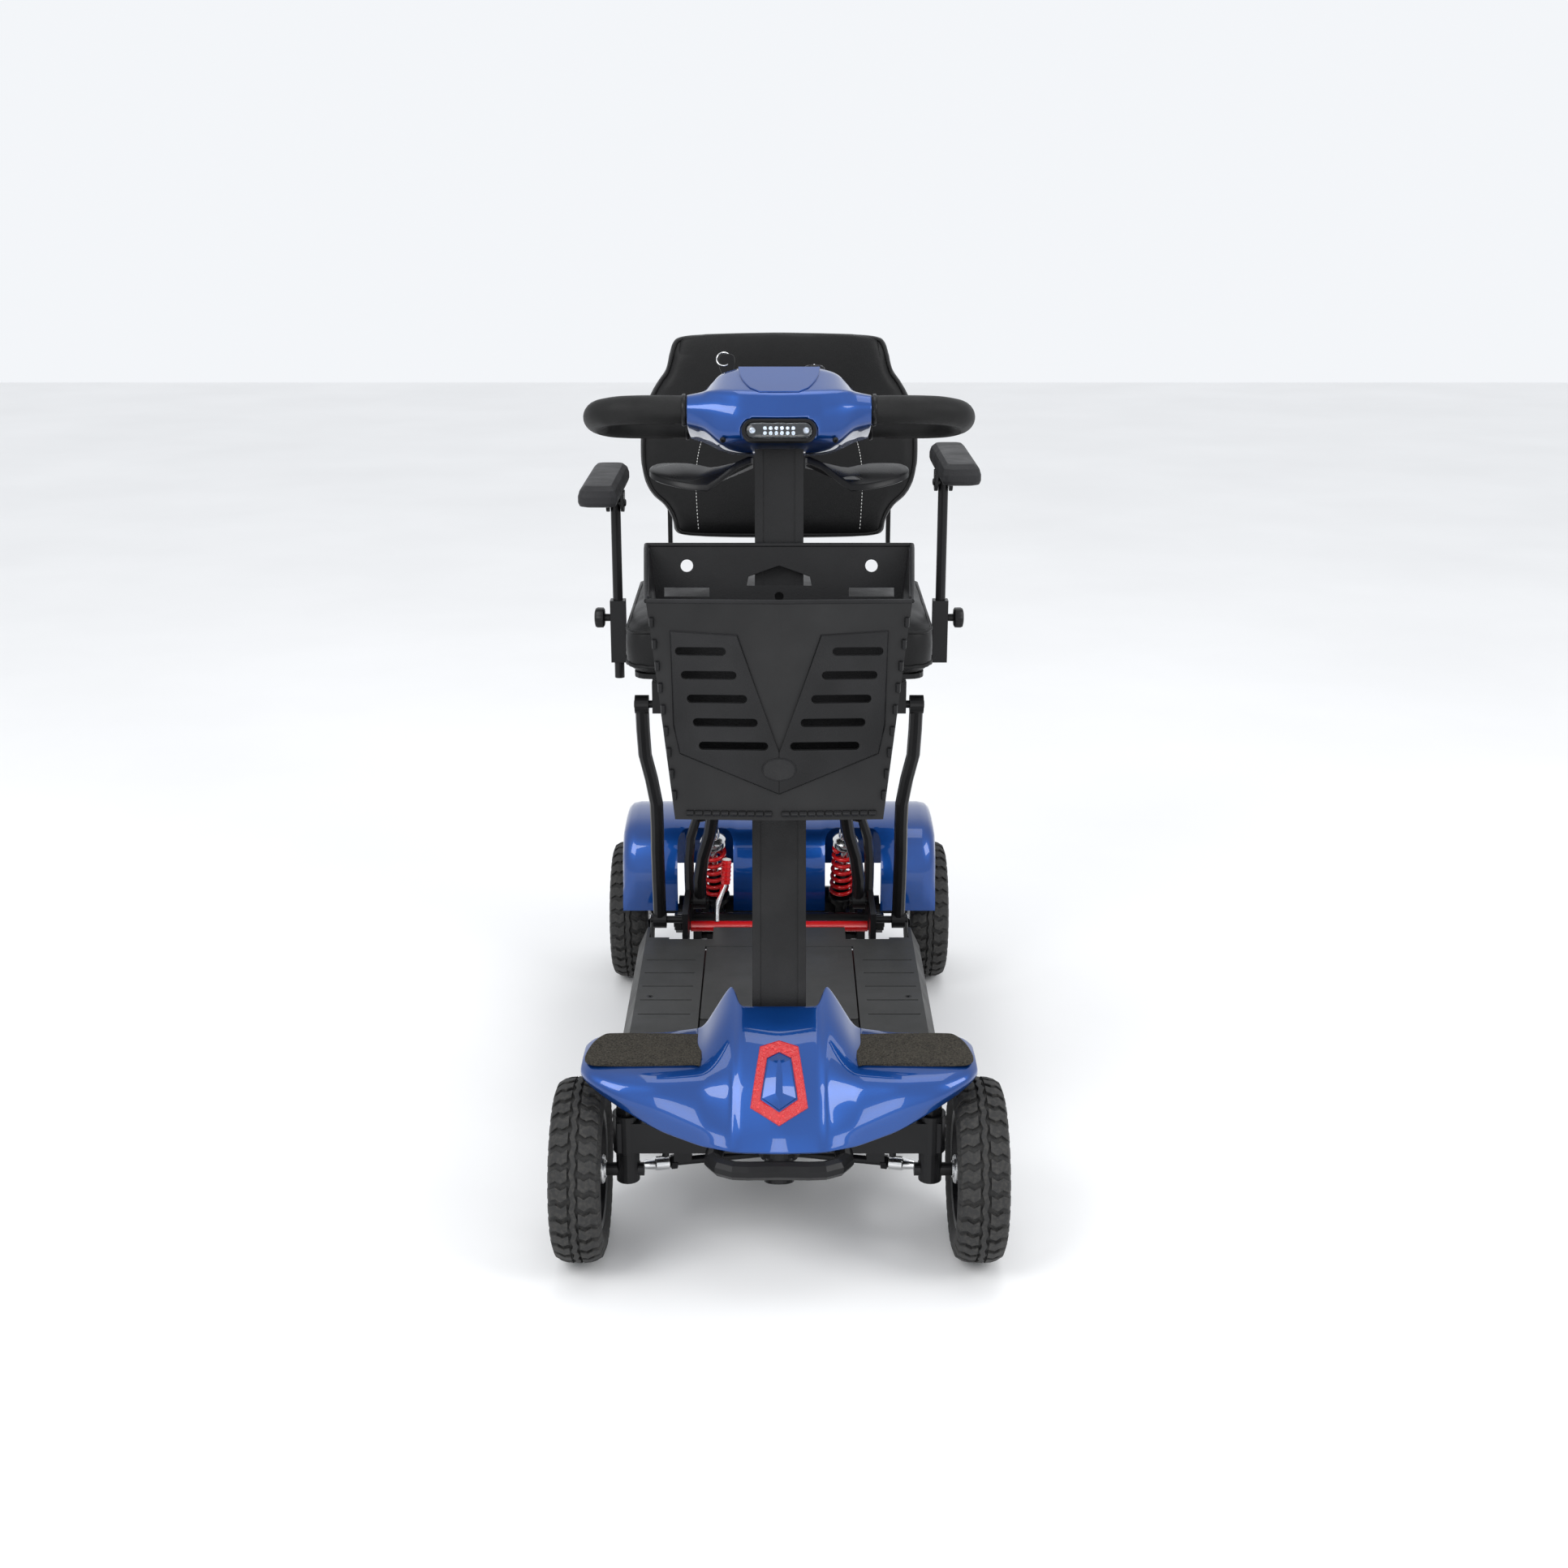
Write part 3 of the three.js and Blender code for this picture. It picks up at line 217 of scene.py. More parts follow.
GRAIN = (("Voronoi", 620, 0.35, 0.0004), ("Noise", 1500, 0.3, 0.0002))
MATS = {
    "blue_paint": blue_lacquer(),
    "black_frame": surface("powder_coat", (0.004, 0.004, 0.0045), (0.010, 0.010, 0.011), (0.3, 0.44), 0.25,
                           (("Noise", 900, 0.14, 0.0002),), 9, 0.15, 0.3),
    "panel_plastic": surface("panel_plastic", (0.010, 0.010, 0.0105), (0.016, 0.016, 0.0165), (0.44, 0.56),
                             0,
                             (("Noise", 1300, 0.25, 0.0002), ("Voronoi", 900, 0.15, 0.0002)), 10),
    "black_plastic": surface("grained_plastic", (0.007, 0.007, 0.0075), (0.014, 0.014, 0.015), (0.36, 0.5),
                             0,
                             GRAIN, 12),
    "smooth_plastic": surface("smooth_plastic", (0.005, 0.005, 0.0055), (0.010, 0.010, 0.011), (0.24, 0.36),
                              0,
                              (("Noise", 1400, 0.12, 0.0002),), 10),
    "deck_plastic": surface("deck_plastic", (0.034, 0.0345, 0.034), (0.048, 0.048, 0.047), (0.42, 0.6), 0,
                            (("Noise", 1100, 0.3, 0.0003), ("Voronoi", 500, 0.12, 0.0003)), 7),
    "vinyl": surface("grained_vinyl", (0.003, 0.003, 0.0032), (0.0065, 0.0065, 0.0068), (0.38, 0.54), 0,
                     (("Voronoi", 780, 0.3, 0.0004), ("Noise", 45, 0.3, 0.002),
                      ("Noise", 2200, 0.2, 0.0002)), 6,
                     0.08, 0.4),
    "tyre_rubber": worn_rubber(),
    "grip_rubber": surface("grip_foam", (0.006, 0.006, 0.006), (0.012, 0.012, 0.012), (0.42, 0.6), 0,
                           (("Noise", 700, 0.55, 0.0006), ("Voronoi", 1300, 0.3, 0.0003)), 16),
    "grit": surface("anti_slip", (0.012, 0.011, 0.009), (0.085, 0.075, 0.058), (0.8, 0.95), 0,
                    (("Voronoi", 900, 1.0, 0.0009), ("Noise", 1600, 0.9, 0.0006)), 620),
    "red_paint": surface("red_enamel", (0.52, 0.006, 0.008), (0.66, 0.012, 0.014), (0.16, 0.28), 0.1,
                         (("Noise", 300, 0.08, 0.0003),), 20, 0.6),
    "red_reflector": red_prism_painted_glow(),
    "steel": surface("bright_steel", (0.6, 0.61, 0.62), (0.8, 0.8, 0.8), (0.1, 0.26), 1.0,
                     (("Noise", 500, 0.1, 0.0002),), 60),
    "aluminium": surface("turned_aluminium", (0.55, 0.56, 0.57), (0.72, 0.72, 0.72), (0.22, 0.36), 1.0,
                         (("Noise", 1300, 0.2, 0.0002),), 40),
    "lens": clear_lens(),
    "armrest_skin": surface("armrest_skin", (0.016, 0.016, 0.017), (0.026, 0.026, 0.028), (0.42, 0.6), 0,
                            (("Voronoi", 480, 0.5, 0.0005), ("Noise", 1500, 0.3, 0.0002)), 12),
    "white_thread": surface("white_thread", (0.62, 0.62, 0.6), (0.82, 0.82, 0.8), (0.6, 0.8), 0,
                            (("Noise", 3000, 0.5, 0.0002),), 300),
    "led": surface("led_reflector", (0.75, 0.78, 0.82), (0.95, 0.96, 1.0), (0.06, 0.16), 0.9,
                   (("Voronoi", 420, 0.8, 0.001),), 80),
}


def placed(x, y, z, degrees=0.0):
    """A place at (x, y, z) in metres, turned about the X axis."""
    return Matrix.Translation((x, y, z)) @ Matrix.Rotation(math.radians(degrees), 4, "X")


def link(name, data):
    """A new object of the scene."""
    obj = bpy.data.objects.new(name, data)
    scene.collection.objects.link(obj)
    return obj


def new_object(name, verts, faces, place=None):
    mesh = bpy.data.meshes.new(name)
    mesh.from_pydata([tuple(v) for v in verts], [], faces)
    if place is not None:
        mesh.transform(place)
    return link(name, mesh)


def tidy_normals(obj, smooth):
    """Faces turned outwards, smooth up to the given angle."""
    mesh = bmesh.new()
    mesh.from_mesh(obj.data)
    bmesh.ops.recalc_face_normals(mesh, faces=mesh.faces)
    for face in mesh.faces:
        face.smooth = True
    limit = math.radians(smooth)
    for edge in mesh.edges:
        edge.smooth = len(edge.link_faces) == 2 and edge.calc_face_angle(0) < limit
    mesh.to_mesh(obj.data)
    mesh.free()


def soften(obj, width, segments=2, angle=30):
    """A small rounded edge that catches the light."""
    bevel = obj.modifiers.new("edge", "BEVEL")
    bevel.width = width
    bevel.segments = segments
    bevel.limit_method = "ANGLE"
    bevel.angle_limit = math.radians(angle)
    bevel.harden_normals = True
    bevel.use_clamp_overlap = True


def shade_smooth(obj):
    for polygon in obj.data.polygons:
        polygon.use_smooth = True


def subdivide(obj, levels=2):
    modifier = obj.modifiers.new("smooth", "SUBSURF")
    modifier.levels = levels
    modifier.render_levels = levels
    shade_smooth(obj)


class Shape:
    """Collects vertices and faces of several closed forms for one piece.

    Places are in metres. Radii of tubes and profiles of lathes are in millimetres.
    """

    def __init__(self):
        self.verts = []
        self.faces = []

    def add(self, verts, faces):
        base = len(self.verts)
        self.verts.extend(Vector(v) for v in verts)
        self.faces.extend(tuple(base + i for i in face) for face in faces)
        return self

    def rings(self, rings, closed=True):
        """Skins a run of rings with the same number of points; a closed run gets an end face at each end."""
        count = len(rings[0])
        verts = [p for ring in rings for p in ring]
        faces = []
        last = len(rings) if not closed else len(rings) - 1
        for i in range(last):
            a, b = i * count, ((i + 1) % len(rings)) * count
            for k in range(count):
                n = (k + 1) % count
                faces.append((a + k, a + n, b + n, b + k))
        if closed:
            faces.append(tuple(reversed(range(count))))
            faces.append(tuple((len(rings) - 1) * count + k for k in range(count)))
        return self.add(verts, faces)

    def tube(self, points, radius, sides=16, loop=False):
        """A round bar along a list of points."""
        points = [Vector(p) for p in points]
        rings = []
        side = None
        for i, point in enumerate(points):
            ahead = points[(i + 1) % len(points)] if loop or i < len(points) - 1 else point
            behind = points[i - 1] if loop or i else point
            along = (ahead - behind).normalized()
            if side is None:
                side = along.orthogonal().normalized()
            side = (side - along * side.dot(along)).normalized()
            up = along.cross(side)
            ring = []
            for turn in turns(sides):
                ring.append(point + (side * math.cos(turn) + up * math.sin(turn)) * radius * MM)
            rings.append(ring)
        return self.rings(rings, closed=not loop)

    def lathe(self, profile, centre, axis, sides=40, start=0.0):
        """Turns a profile of (radius, height) about an axis through a point, with a flat face at each end."""
        axis = Vector(axis).normalized()
        side = axis.orthogonal().normalized()
        up = axis.cross(side)
        centre = Vector(centre)
        rings = []
        for radius, height in profile:
            ring = []
            for turn in turns(sides, start):
                out = side * math.cos(turn) + up * math.sin(turn)
                ring.append(centre + (axis * height + out * radius) * MM)
            rings.append(ring)
        return self.rings(rings)

    def hoop(self, profile, centre, sides=56):
        """A ring about the X axis from a closed (radius, x) section."""
        rings = []
        for turn in turns(sides):
            rings.append([Vector(centre) + Vector((x, r * math.cos(turn), r * math.sin(turn)))
                          for r, x in profile])
        return self.rings(rings, closed=False)

    def prism(self, outline, low, high, place=Matrix()):
        """A flat outline of (x, y) raised from low to high, in the given place."""
        return self.rings([[place @ Vector((x, y, h)) for x, y in outline] for h in (low, high)])

    def piece(self, name, body, finish, replaces=(), smooth=40, place=None, slot=None):
        """One mesh object, placed, shaded, ridden on its body if one is named, and given its finish."""
        obj = new_object(name, self.verts, self.faces, place)
        obj.data.materials.append(MATS[finish])
        tidy_normals(obj, smooth)
        if body:
            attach(obj, body)
        if replaces:
            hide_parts(*replaces)
        return obj


def turns(sides, start=0.0):
    """The angles of the corners of a ring."""
    return [start + TURN * k / sides for k in range(sides)]


def spline(points, steps=6, loop=False):
    """Points on a smooth Catmull-Rom curve through the given ones."""
    points = [Vector(p) for p in points]
    count = len(points)
    out = []
    for i in range(count if loop else count - 1):
        before = points[i - 1] if loop or i else points[i] * 2 - points[i + 1]
        a, b = points[i], points[(i + 1) % count]
        after = points[(i + 2) % count] if loop or i + 2 < count else b * 2 - a
        for k in range(steps):
            t = k / steps
            out.append(0.5 * ((2 * a) + (b - before) * t + (2 * before - 5 * a + 4 * b - after) * t * t
                              + (3 * a - before - 3 * b + after) * t ** 3))
    if not loop:
        out.append(points[-1])
    return out


def metres(points):
    """The same points, given in millimetres, in metres."""
    return [Vector(p) * MM for p in points]


def circle(radius, sides):
    return [(radius * math.cos(turn), radius * math.sin(turn)) for turn in turns(sides)]


def round_rect(half_x, half_y, radius, steps=5):
    out = []
    for cx, cy, start in ((1, 1, 0), (-1, 1, 90), (-1, -1, 180), (1, -1, 270)):
        for k in range(steps + 1):
            turn = math.radians(start + 90 * k / steps)
            out.append((cx * (half_x - radius) + radius * math.cos(turn),
                        cy * (half_y - radius) + radius * math.sin(turn)))
    return out


def bolt(shape, centre, axis, radius, height, nut=False):
    """A dome screw head with a socket, or a hexagon nut with the stud's end; sizes in millimetres."""
    if nut:
        shape.lathe([(radius * 1.5, 0), (radius * 1.5, radius * 0.25)], centre, axis, 20)
        shape.lathe([(radius, radius * 0.25), (radius, height), (radius * 0.86, height * 1.12)], centre,
                    axis, 6)
        shape.lathe([(radius * 0.55, height), (radius * 0.55, height * 1.5), (radius * 0.4, height * 1.65)],
                    centre, axis, 14)
        return
    rings = [(radius, 0), (radius, height * 0.35), (radius * 0.86, height * 0.8), (radius * 0.55, height),
             (radius * 0.42, height), (radius * 0.4, height * 0.35)]
    shape.lathe(rings, centre, axis, 18)


# ---- parts kept from the CAD frame ----
KEPT = {
    "black_frame": ("deck_frame", "front_axle_beam", "front_bumper", "rear_frame", "transaxle",
                    "front_leg_left",
                    "front_leg_right", "rear_leg_left", "rear_leg_right", "seat_frame", "steering_column",
                    "backrest_frame", "armrest_post_left", "armrest_post_right", "knuckle_left",
                    "knuckle_right"),
    "black_plastic": ("battery_pack", "mast_lower", "mast_upper", "basket_back", "basket_left",
                      "basket_right",
                      "basket_floor", "lid_latch"),
    "smooth_plastic": ("height_clamp", "seat_pan"),
    "deck_plastic": ("footboard", "battery_lid"),
    "panel_plastic": ("basket_front",),
    "red_paint": ("fold_release_bar",),
}
SHARP_FROM = math.radians(32)


def keep_cad_parts():
    """Gives each remaining CAD node its finish, smooth round faces and sharp edges."""
    for finish, names in KEPT.items():
        for name in names:
            mesh = nodes[name].data
            mesh.materials.clear()
            mesh.materials.append(MATS[finish])
            mesh.polygons.foreach_set("material_index", [0] * len(mesh.polygons))
            if "custom_normal" in mesh.attributes:
                mesh.attributes.remove(mesh.attributes["custom_normal"])
            shade_smooth(nodes[name])
            mesh.set_sharp_from_angle(angle=SHARP_FROM)


# ---- wheels ----
TREAD_PITCHES = 32
TREAD_DEPTH = 0.0042
TREAD_HALF = 0.0285
CROWN_DROP = 0.00945  # how far the crown falls from the middle of the tread to its edge
SPOKES = 5


def tread_radius(x):
    """Height of the crown of the tyre at a distance from its middle."""
    return WHEEL_R - CROWN_DROP * (abs(x) / TREAD_HALF) ** 3.2


def tyre(end, side, x, y):
    shape = Shape()
    half = TYRE_WIDE / 2
    wall = [(0.0655, -0.020), (0.0672, -0.0232), (0.072, -0.0262), (0.0795, -0.0284), (0.087, -0.0276),
            (0.0925, -0.0252)]
    crown = [(tread_radius(k * 0.0055) - TREAD_DEPTH, k * 0.0055) for k in range(-4, 5)]
    shape.hoop(wall + crown + [(r, -u) for r, u in reversed(wall)], (x, y, WHEEL_R), 78)
    for row in (-1, 1):
        for i in range(TREAD_PITCHES):
            tread_block(shape, x, y, row, TURN * (i + 0.25 * row) / TREAD_PITCHES)
    rib(shape, x, y)
    for r, u in ((0.0745, half - 0.0022), (0.083, half - 0.0008)):
        for face in (-1, 1):
            ring = [(r - 0.0009, face * (u - 0.0015)), (r + 0.0009, face * (u - 0.0015)),
                    (r, face * (u - 0.0001))]
            shape.hoop(ring, (x, y, WHEEL_R), 78)
    name = f"tyre_{end}_{side}"
    shape.piece(f"tread_{end}_{side}", f"wheel_{end}_{side}", "tyre_rubber", (name,), 28)


def tread_block(shape, x, y, row, turn):
    width = TURN / TREAD_PITCHES * 0.33
    rings = []
    for u, shift, drop in ((0.0058, 0.0, 0), (0.0125, 0.62, 0), (0.0185, 0.12, 0), (0.0250, 0.72, 0),
                           (0.0279, 0.72, 0.0052)):
        middle = turn + shift * width
        top = tread_radius(u) - drop
        low = top - TREAD_DEPTH - 0.0015
        ring = []
        for r, a in ((low, -width), (top - 0.0006, -width), (top, -width * 0.86), (top, width * 0.86),
                     (top - 0.0006, width), (low, width)):
            ring.append(Vector((x + row * u, y + r * math.cos(middle + a),
                                WHEEL_R + r * math.sin(middle + a))))
        rings.append(ring)
    shape.rings(rings)


def rib(shape, x, y):
    """The zig-zag rib round the middle of the tread."""
    rings = []
    steps = TREAD_PITCHES * 2
    for k in range(steps):
        turn = TURN * (k + 0.5) / steps
        sway = 0.0013 * (-1) ** k
        ring = []
        for r, u in ((-0.006, -0.0029), (-0.0004, -0.0029), (0, -0.0023), (0, 0.0023), (-0.0004, 0.0029),
                     (-0.006, 0.0029)):
            r += WHEEL_R
            ring.append(Vector((x + u + sway, y + r * math.cos(turn), WHEEL_R + r * math.sin(turn))))
        rings.append(ring)
    shape.rings(rings, closed=False)


def rim(end, side, x, y, sign):
    low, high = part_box(f"rim_{end}_{side}")
    outer = high[0] if sign > 0 else low[0]
    inner = low[0] if sign > 0 else high[0]
    centre = (0, y, WHEEL_R)
    hoops = Shape()
    lip = [(0.0655, 0.0215), (0.0668, 0.0228), (0.0658, 0.0236), (0.061, 0.0222), (0.0585, 0.016),
           (0.0585, -0.016), (0.061, -0.0222), (0.0658, -0.0236), (0.0668, -0.0228), (0.0655, -0.0215),
           (0.0612, -0.014), (0.0612, 0.014)]
    hoops.hoop([(r, x + u) for r, u in lip], centre, 64)
    for turn in turns(SPOKES, math.pi / SPOKES):
        spoke(hoops, x, y, sign, turn)
    hub = [(26, -12.5), (27, -10), (27, 3.5), (24.5, 5.8), (17, 6.6), (15.5, 9.8), (14.8, 12.8), (11, 14.2),
           (4, 14.6)]
    reach = abs(outer - x) / MM - 14.7
    hoops.lathe([(r, u + reach * (u > 0)) for r, u in hub], (x, y, WHEEL_R), (sign, 0, 0), 44)
    name = f"rim_{end}_{side}"
    hoops.piece(f"rim_shell_{end}_{side}", f"wheel_{end}_{side}", "smooth_plastic", (name,), 36)
    boss = Shape()
    length = abs(inner - x) / MM
    boss.lathe([(12.5, 4), (16.8, 4), (17, length * 0.55), (16.2, length * 0.6),
                (16.2, length * 0.86), (14.5, length * 0.93), (9.5, length * 0.94),
                (9.5, length - 0.2)], (x, y, WHEEL_R), (-sign, 0, 0), 40)
    for a, b in circle(0.0205, SPOKES):
        bolt(boss, (outer - sign * 0.0092, y + a, WHEEL_R + b), (sign, 0, 0), 3.6, 3)
    boss.piece(f"hub_{end}_{side}", f"wheel_{end}_{side}", "aluminium", (name,), 34)


def spoke(shape, x, y, sign, turn):
    out = Vector((0, math.cos(turn), math.sin(turn)))
    across = Vector((1, 0, 0)).cross(out)
    rings = []
    for r, half, face, back in ((0.018, 0.0125, 0.0085, -0.010), (0.030, 0.0095, 0.0105, -0.009),
                                (0.044, 0.0092, 0.0105, -0.009), (0.0600, 0.0155, 0.0085, -0.011)):
        ring = []
        for w, u in ((-1, back), (-1, face - 0.003), (-0.62, face), (0.62, face), (1, face - 0.003),
                     (1, back)):
            ring.append(Vector((x + sign * u, y, WHEEL_R)) + out * r + across * (w * half))
        rings.append(ring)
    shape.rings(rings)


def wheels():
    for side, sign in SIDES:
        for end, y in (("front", -AXLE_Y), ("rear", AXLE_Y)):
            tyre(end, side, sign * TYRE_X, y)
            rim(end, side, sign * TYRE_X, y, sign)


# ---- front cowl ----
# Outer line of the cowl at each distance from the middle, (y, z) in millimetres from the rear edge down.
COWL = (
    (0, ((-358, 279), (-402, 255), (-442, 222), (-469, 186), (-480, 162))),
    (42, ((-358, 279), (-398, 255), (-436, 222), (-463, 186), (-476, 161))),
    (52, ((-318, 290), (-374, 263), (-428, 226), (-458, 187), (-474, 161))),
    (84, ((-332, 241), (-398, 240), (-442, 228), (-464, 194), (-468, 166))),
    (130, ((-345, 240), (-404, 240), (-448, 231), (-462, 208), (-462, 182))),
    (175, ((-345, 240), (-402, 240), (-440, 233), (-454, 220), (-451, 207))),
    (204, ((-352, 238), (-396, 239), (-424, 235), (-435, 229), (-433, 222))),
    (215, ((-368, 233), (-391, 234), (-407, 232), (-413, 229), (-412, 226))),
)
COWL_COLUMNS = (0, 14, 28, 38, 42.5, 46.5, 51.5, 57, 65, 74, 84, 96, 112, 130, 150, 168, 182, 195, 205, 211,
                214.5)
SKIN = 0.003


def blend_stations(stations, x):
    """The outline between two stations; x is the distance from the middle."""
    low = max(i for i in range(len(stations) - 1) if stations[i][0] <= x or i == 0)
    (x0, a), (x1, b) = stations[low], stations[low + 1]
    mix = (x - x0) / (x1 - x0)
    return [(p + (r - p) * mix, q + (t - q) * mix) for (p, q), (r, t) in zip(a, b)]


def shell(grid, thickness):
    """A closed skin: the given grid of points and the same grid pushed in along its normals."""
    rows, columns = len(grid), len(grid[0])
    inner = []
    for i in range(rows):
        line = []
        for k in range(columns):
            along = grid[min(i + 1, rows - 1)][k] - grid[max(i - 1, 0)][k]
            across = grid[i][min(k + 1, columns - 1)] - grid[i][max(k - 1, 0)]
            line.append(grid[i][k] - along.cross(across).normalized() * thickness)
        inner.append(line)
    rings = [list(grid[i]) + list(reversed(inner[i])) for i in range(rows)]
    return Shape().rings(rings)


def cowl_grid():
    columns = [-x for x in reversed(COWL_COLUMNS[1:])] + list(COWL_COLUMNS)
    grid = []
    for x in columns:
        grid.append(metres(spline([(x, y, z) for y, z in blend_stations(COWL, abs(x))], 4)))
    return grid


def front_cowl():
    skin = shell(cowl_grid(), SKIN)
    obj = skin.piece("cowl_shell", "front_chassis", "blue_paint", ("front_cowl",), 180)
    subdivide(obj, 2)
    apply_all(obj)
    grip_pads()
    reflector(obj)
    cowl_bolts()


def grip_pads():
    outline = ((85, -421), (95, -424), (140, -427), (196, -426), (209, -418), (211, -405), (206, -376),
               (196, -355),
               (184, -350.5), (140, -350.5), (98, -353), (86, -358))
    for side, sign in SIDES:
        edge = metres(spline([(sign * x, y, 0) for x, y in outline], 4, True))
        middle = sum(edge, Vector()) / len(edge)
        shape = Shape()
        rings = []
        for shrink, z in ((1.0, 0.2398), (1.0, 0.2428), (0.988, 0.2440), (0.9, 0.2443)):
            rings.append([middle + (p - middle) * shrink + Vector((0, 0, z)) for p in edge])
        shape.rings(rings)
        shape.piece(f"grit_pad_{side}", "front_chassis", "grit", (f"grip_pad_{side}",), 50)


def reflector(cowl):
    """The prismatic red ring, its rim and the faceted blue stone inside it, all laid on the cowl."""
    tilt = placed(0, -0.398, 0.254, 43)
    outer = ((0, 0), (21, 7), (31, 76), (0, 96), (-31, 76), (-21, 7))
    inner = ((0, 14), (13, 21), (20, 68), (0, 82), (-20, 68), (-13, 21))
    shape = Shape()
    middle = Vector((0, -0.048, 0))
    lines = []
    outer, inner = dense(outer), dense(inner)

    def laid(p, lift):
        start = tilt @ Vector((p.x, p.y, 0.05))
        found = on_surface(cowl, start, tilt.to_3x3() @ Vector((0, 0, -1)))
        height = (tilt.inverted() @ found).z if found is not None else 0.0
        return Vector((p.x, p.y, height + lift))

    for outline, scale, z in ((outer, 1.0, -3.0), (outer, 1.0, 1.6), (outer, 0.97, 2.6), (inner, 1.06, 2.6),
                              (inner, 1.0, 1.6), (inner, 1.0, -3.0)):
        ring = []
        for x, y in outline:
            p = Vector((x * MM, -y * MM, 0))
            ring.append(tilt @ laid(middle + (p - middle) * scale, z * MM))
        lines.append(ring)
    shape.rings(lines, closed=False)
    shape.piece("reflector_ring", "front_chassis", "red_reflector", ("front_reflector",), 30)
    stone = Shape()
    levels = []
    for wide, long, lift in ((0.94, 0.94, -0.002), (0.9, 0.92, 0.0012), (0.2, 0.72, 0.0042)):
        levels.append([tilt @ laid(Vector((x * wide * MM, -0.048 + (0.048 - y * MM) * long, 0)), lift)
                       for x, y in inner])
    base, rim, ridge = levels
    stone.rings([base, rim, ridge])
    obj = stone.piece("reflector_stone", "front_chassis", "blue_paint", (), 12)
    soften(obj, 0.0006)


def dense(outline, parts=4):
    """The same outline with points added along each side."""
    out = []
    for (x0, y0), (x1, y1) in zip(outline, outline[1:] + outline[:1]):
        for k in range(parts):
            out.append((x0 + (x1 - x0) * k / parts, y0 + (y1 - y0) * k / parts))
    return out


def cowl_bolts():
    shape = Shape()
    for sign in (1, -1):
        bolt(shape, (sign * 0.168, -AXLE_Y, 0.179), (0, 0, 1), 7.5, 6, True)
    for x, y in ((-0.166, -0.036), (0.166, -0.036), (-0.092, -0.158), (0.092, -0.158)):
        bolt(shape, (x, y, 0.1478), (0, 0, 1), 4.2, 2.2)
    shape.piece("chassis_bolts", "front_chassis", "black_frame", (), 34, slot="steel")


# ---- tiller head ----
# Section of the head at each distance from the middle, (y, s) in millimetres in the tiller's frame.
HEAD = (
    (0, ((85, 686), (97, 703), (98, 740), (88, 772), (23, 779), (-38, 739), (-43, 714), (-37, 690),
         (30, 684))),
    (44, ((85, 686), (97, 703), (98, 740), (88, 772), (23, 778), (-36, 741), (-42, 716), (-36, 687),
          (30, 683))),
    (66, ((86, 690), (98, 704), (100, 738), (91, 766), (23, 772), (-29, 744), (-37, 724), (-31, 687),
          (30, 686))),
    (84, ((86, 700), (99, 709), (101, 734), (93, 750), (24, 752), (-22, 744), (-31, 726), (-25, 704),
          (30, 700))),
    (103, ((86, 706), (100, 712), (102, 727), (95, 743), (25, 744), (-18, 742), (-27, 726), (-19, 709),
           (30, 706))),
)
LIGHT_S = 0.6985  # height of the headlight up the tiller
HEAD_COLUMNS = (0, 22, 38, 46, 53, 60, 68, 76, 84, 92, 98, 102, 103)


def head_ring(x):
    points = blend_stations(HEAD, abs(x))
    ring = []
    for i, (y, s) in enumerate(points):
        after = points[(i + 1) % len(points)]
        ring.append(Vector((x, y, s)) * MM)
        ring.append(Vector((x, (y + after[0]) / 2, (s + after[1]) / 2)) * MM)
    return ring


def tiller_head():
    columns = [-x for x in reversed(HEAD_COLUMNS[1:])] + list(HEAD_COLUMNS)
    shape = Shape().rings([head_ring(x) for x in columns])
    obj = shape.piece("head_shell", "upper_tiller", "blue_paint", ("tiller_head",), 180, TILLER)
    recess = Shape().prism(round_rect(0.0425, 0.0135, 0.0132), -0.02, 0.0098,
                           TILLER @ placed(0, -0.044, LIGHT_S, -90))
    edge_crease(obj, (6, 8, 10))
    subdivide(obj)
    carve(obj, recess)
    head_panel()
    head_screws()


def edge_crease(obj, rows):
    """Creases the lines that run across the head at the given places of its section."""
    count = len(HEAD[0][1]) * 2
    layer = obj.data.attributes.new("crease_edge", "FLOAT", "EDGE")
    for edge in obj.data.edges:
        a, b = edge.vertices
        lengthwise = a % count == b % count
        middle = min(a, b) // count > 3 and max(a, b) // count < 21
        if lengthwise and middle and a % count in rows:
            layer.data[edge.index].value = 0.62


def carve(obj, cutter):
    """Cuts a closed shape out of a piece and keeps the result as its mesh."""
    tool = new_object("cutter", cutter.verts, cutter.faces)
    tidy_normals(tool, 30)
    cut = obj.modifiers.new("cut", "BOOLEAN")
    cut.object = tool
    cut.solver = "EXACT"
    apply_all(obj)
    bpy.data.objects.remove(tool)


def apply_all(obj):
    """Fixes the result of a piece's modifiers into its mesh."""
    bpy.context.view_layer.update()
    depsgraph = bpy.context.evaluated_depsgraph_get()
    made = bpy.data.meshes.new_from_object(obj.evaluated_get(depsgraph), depsgraph=depsgraph)
    obj.modifiers.clear()
    obj.data = made


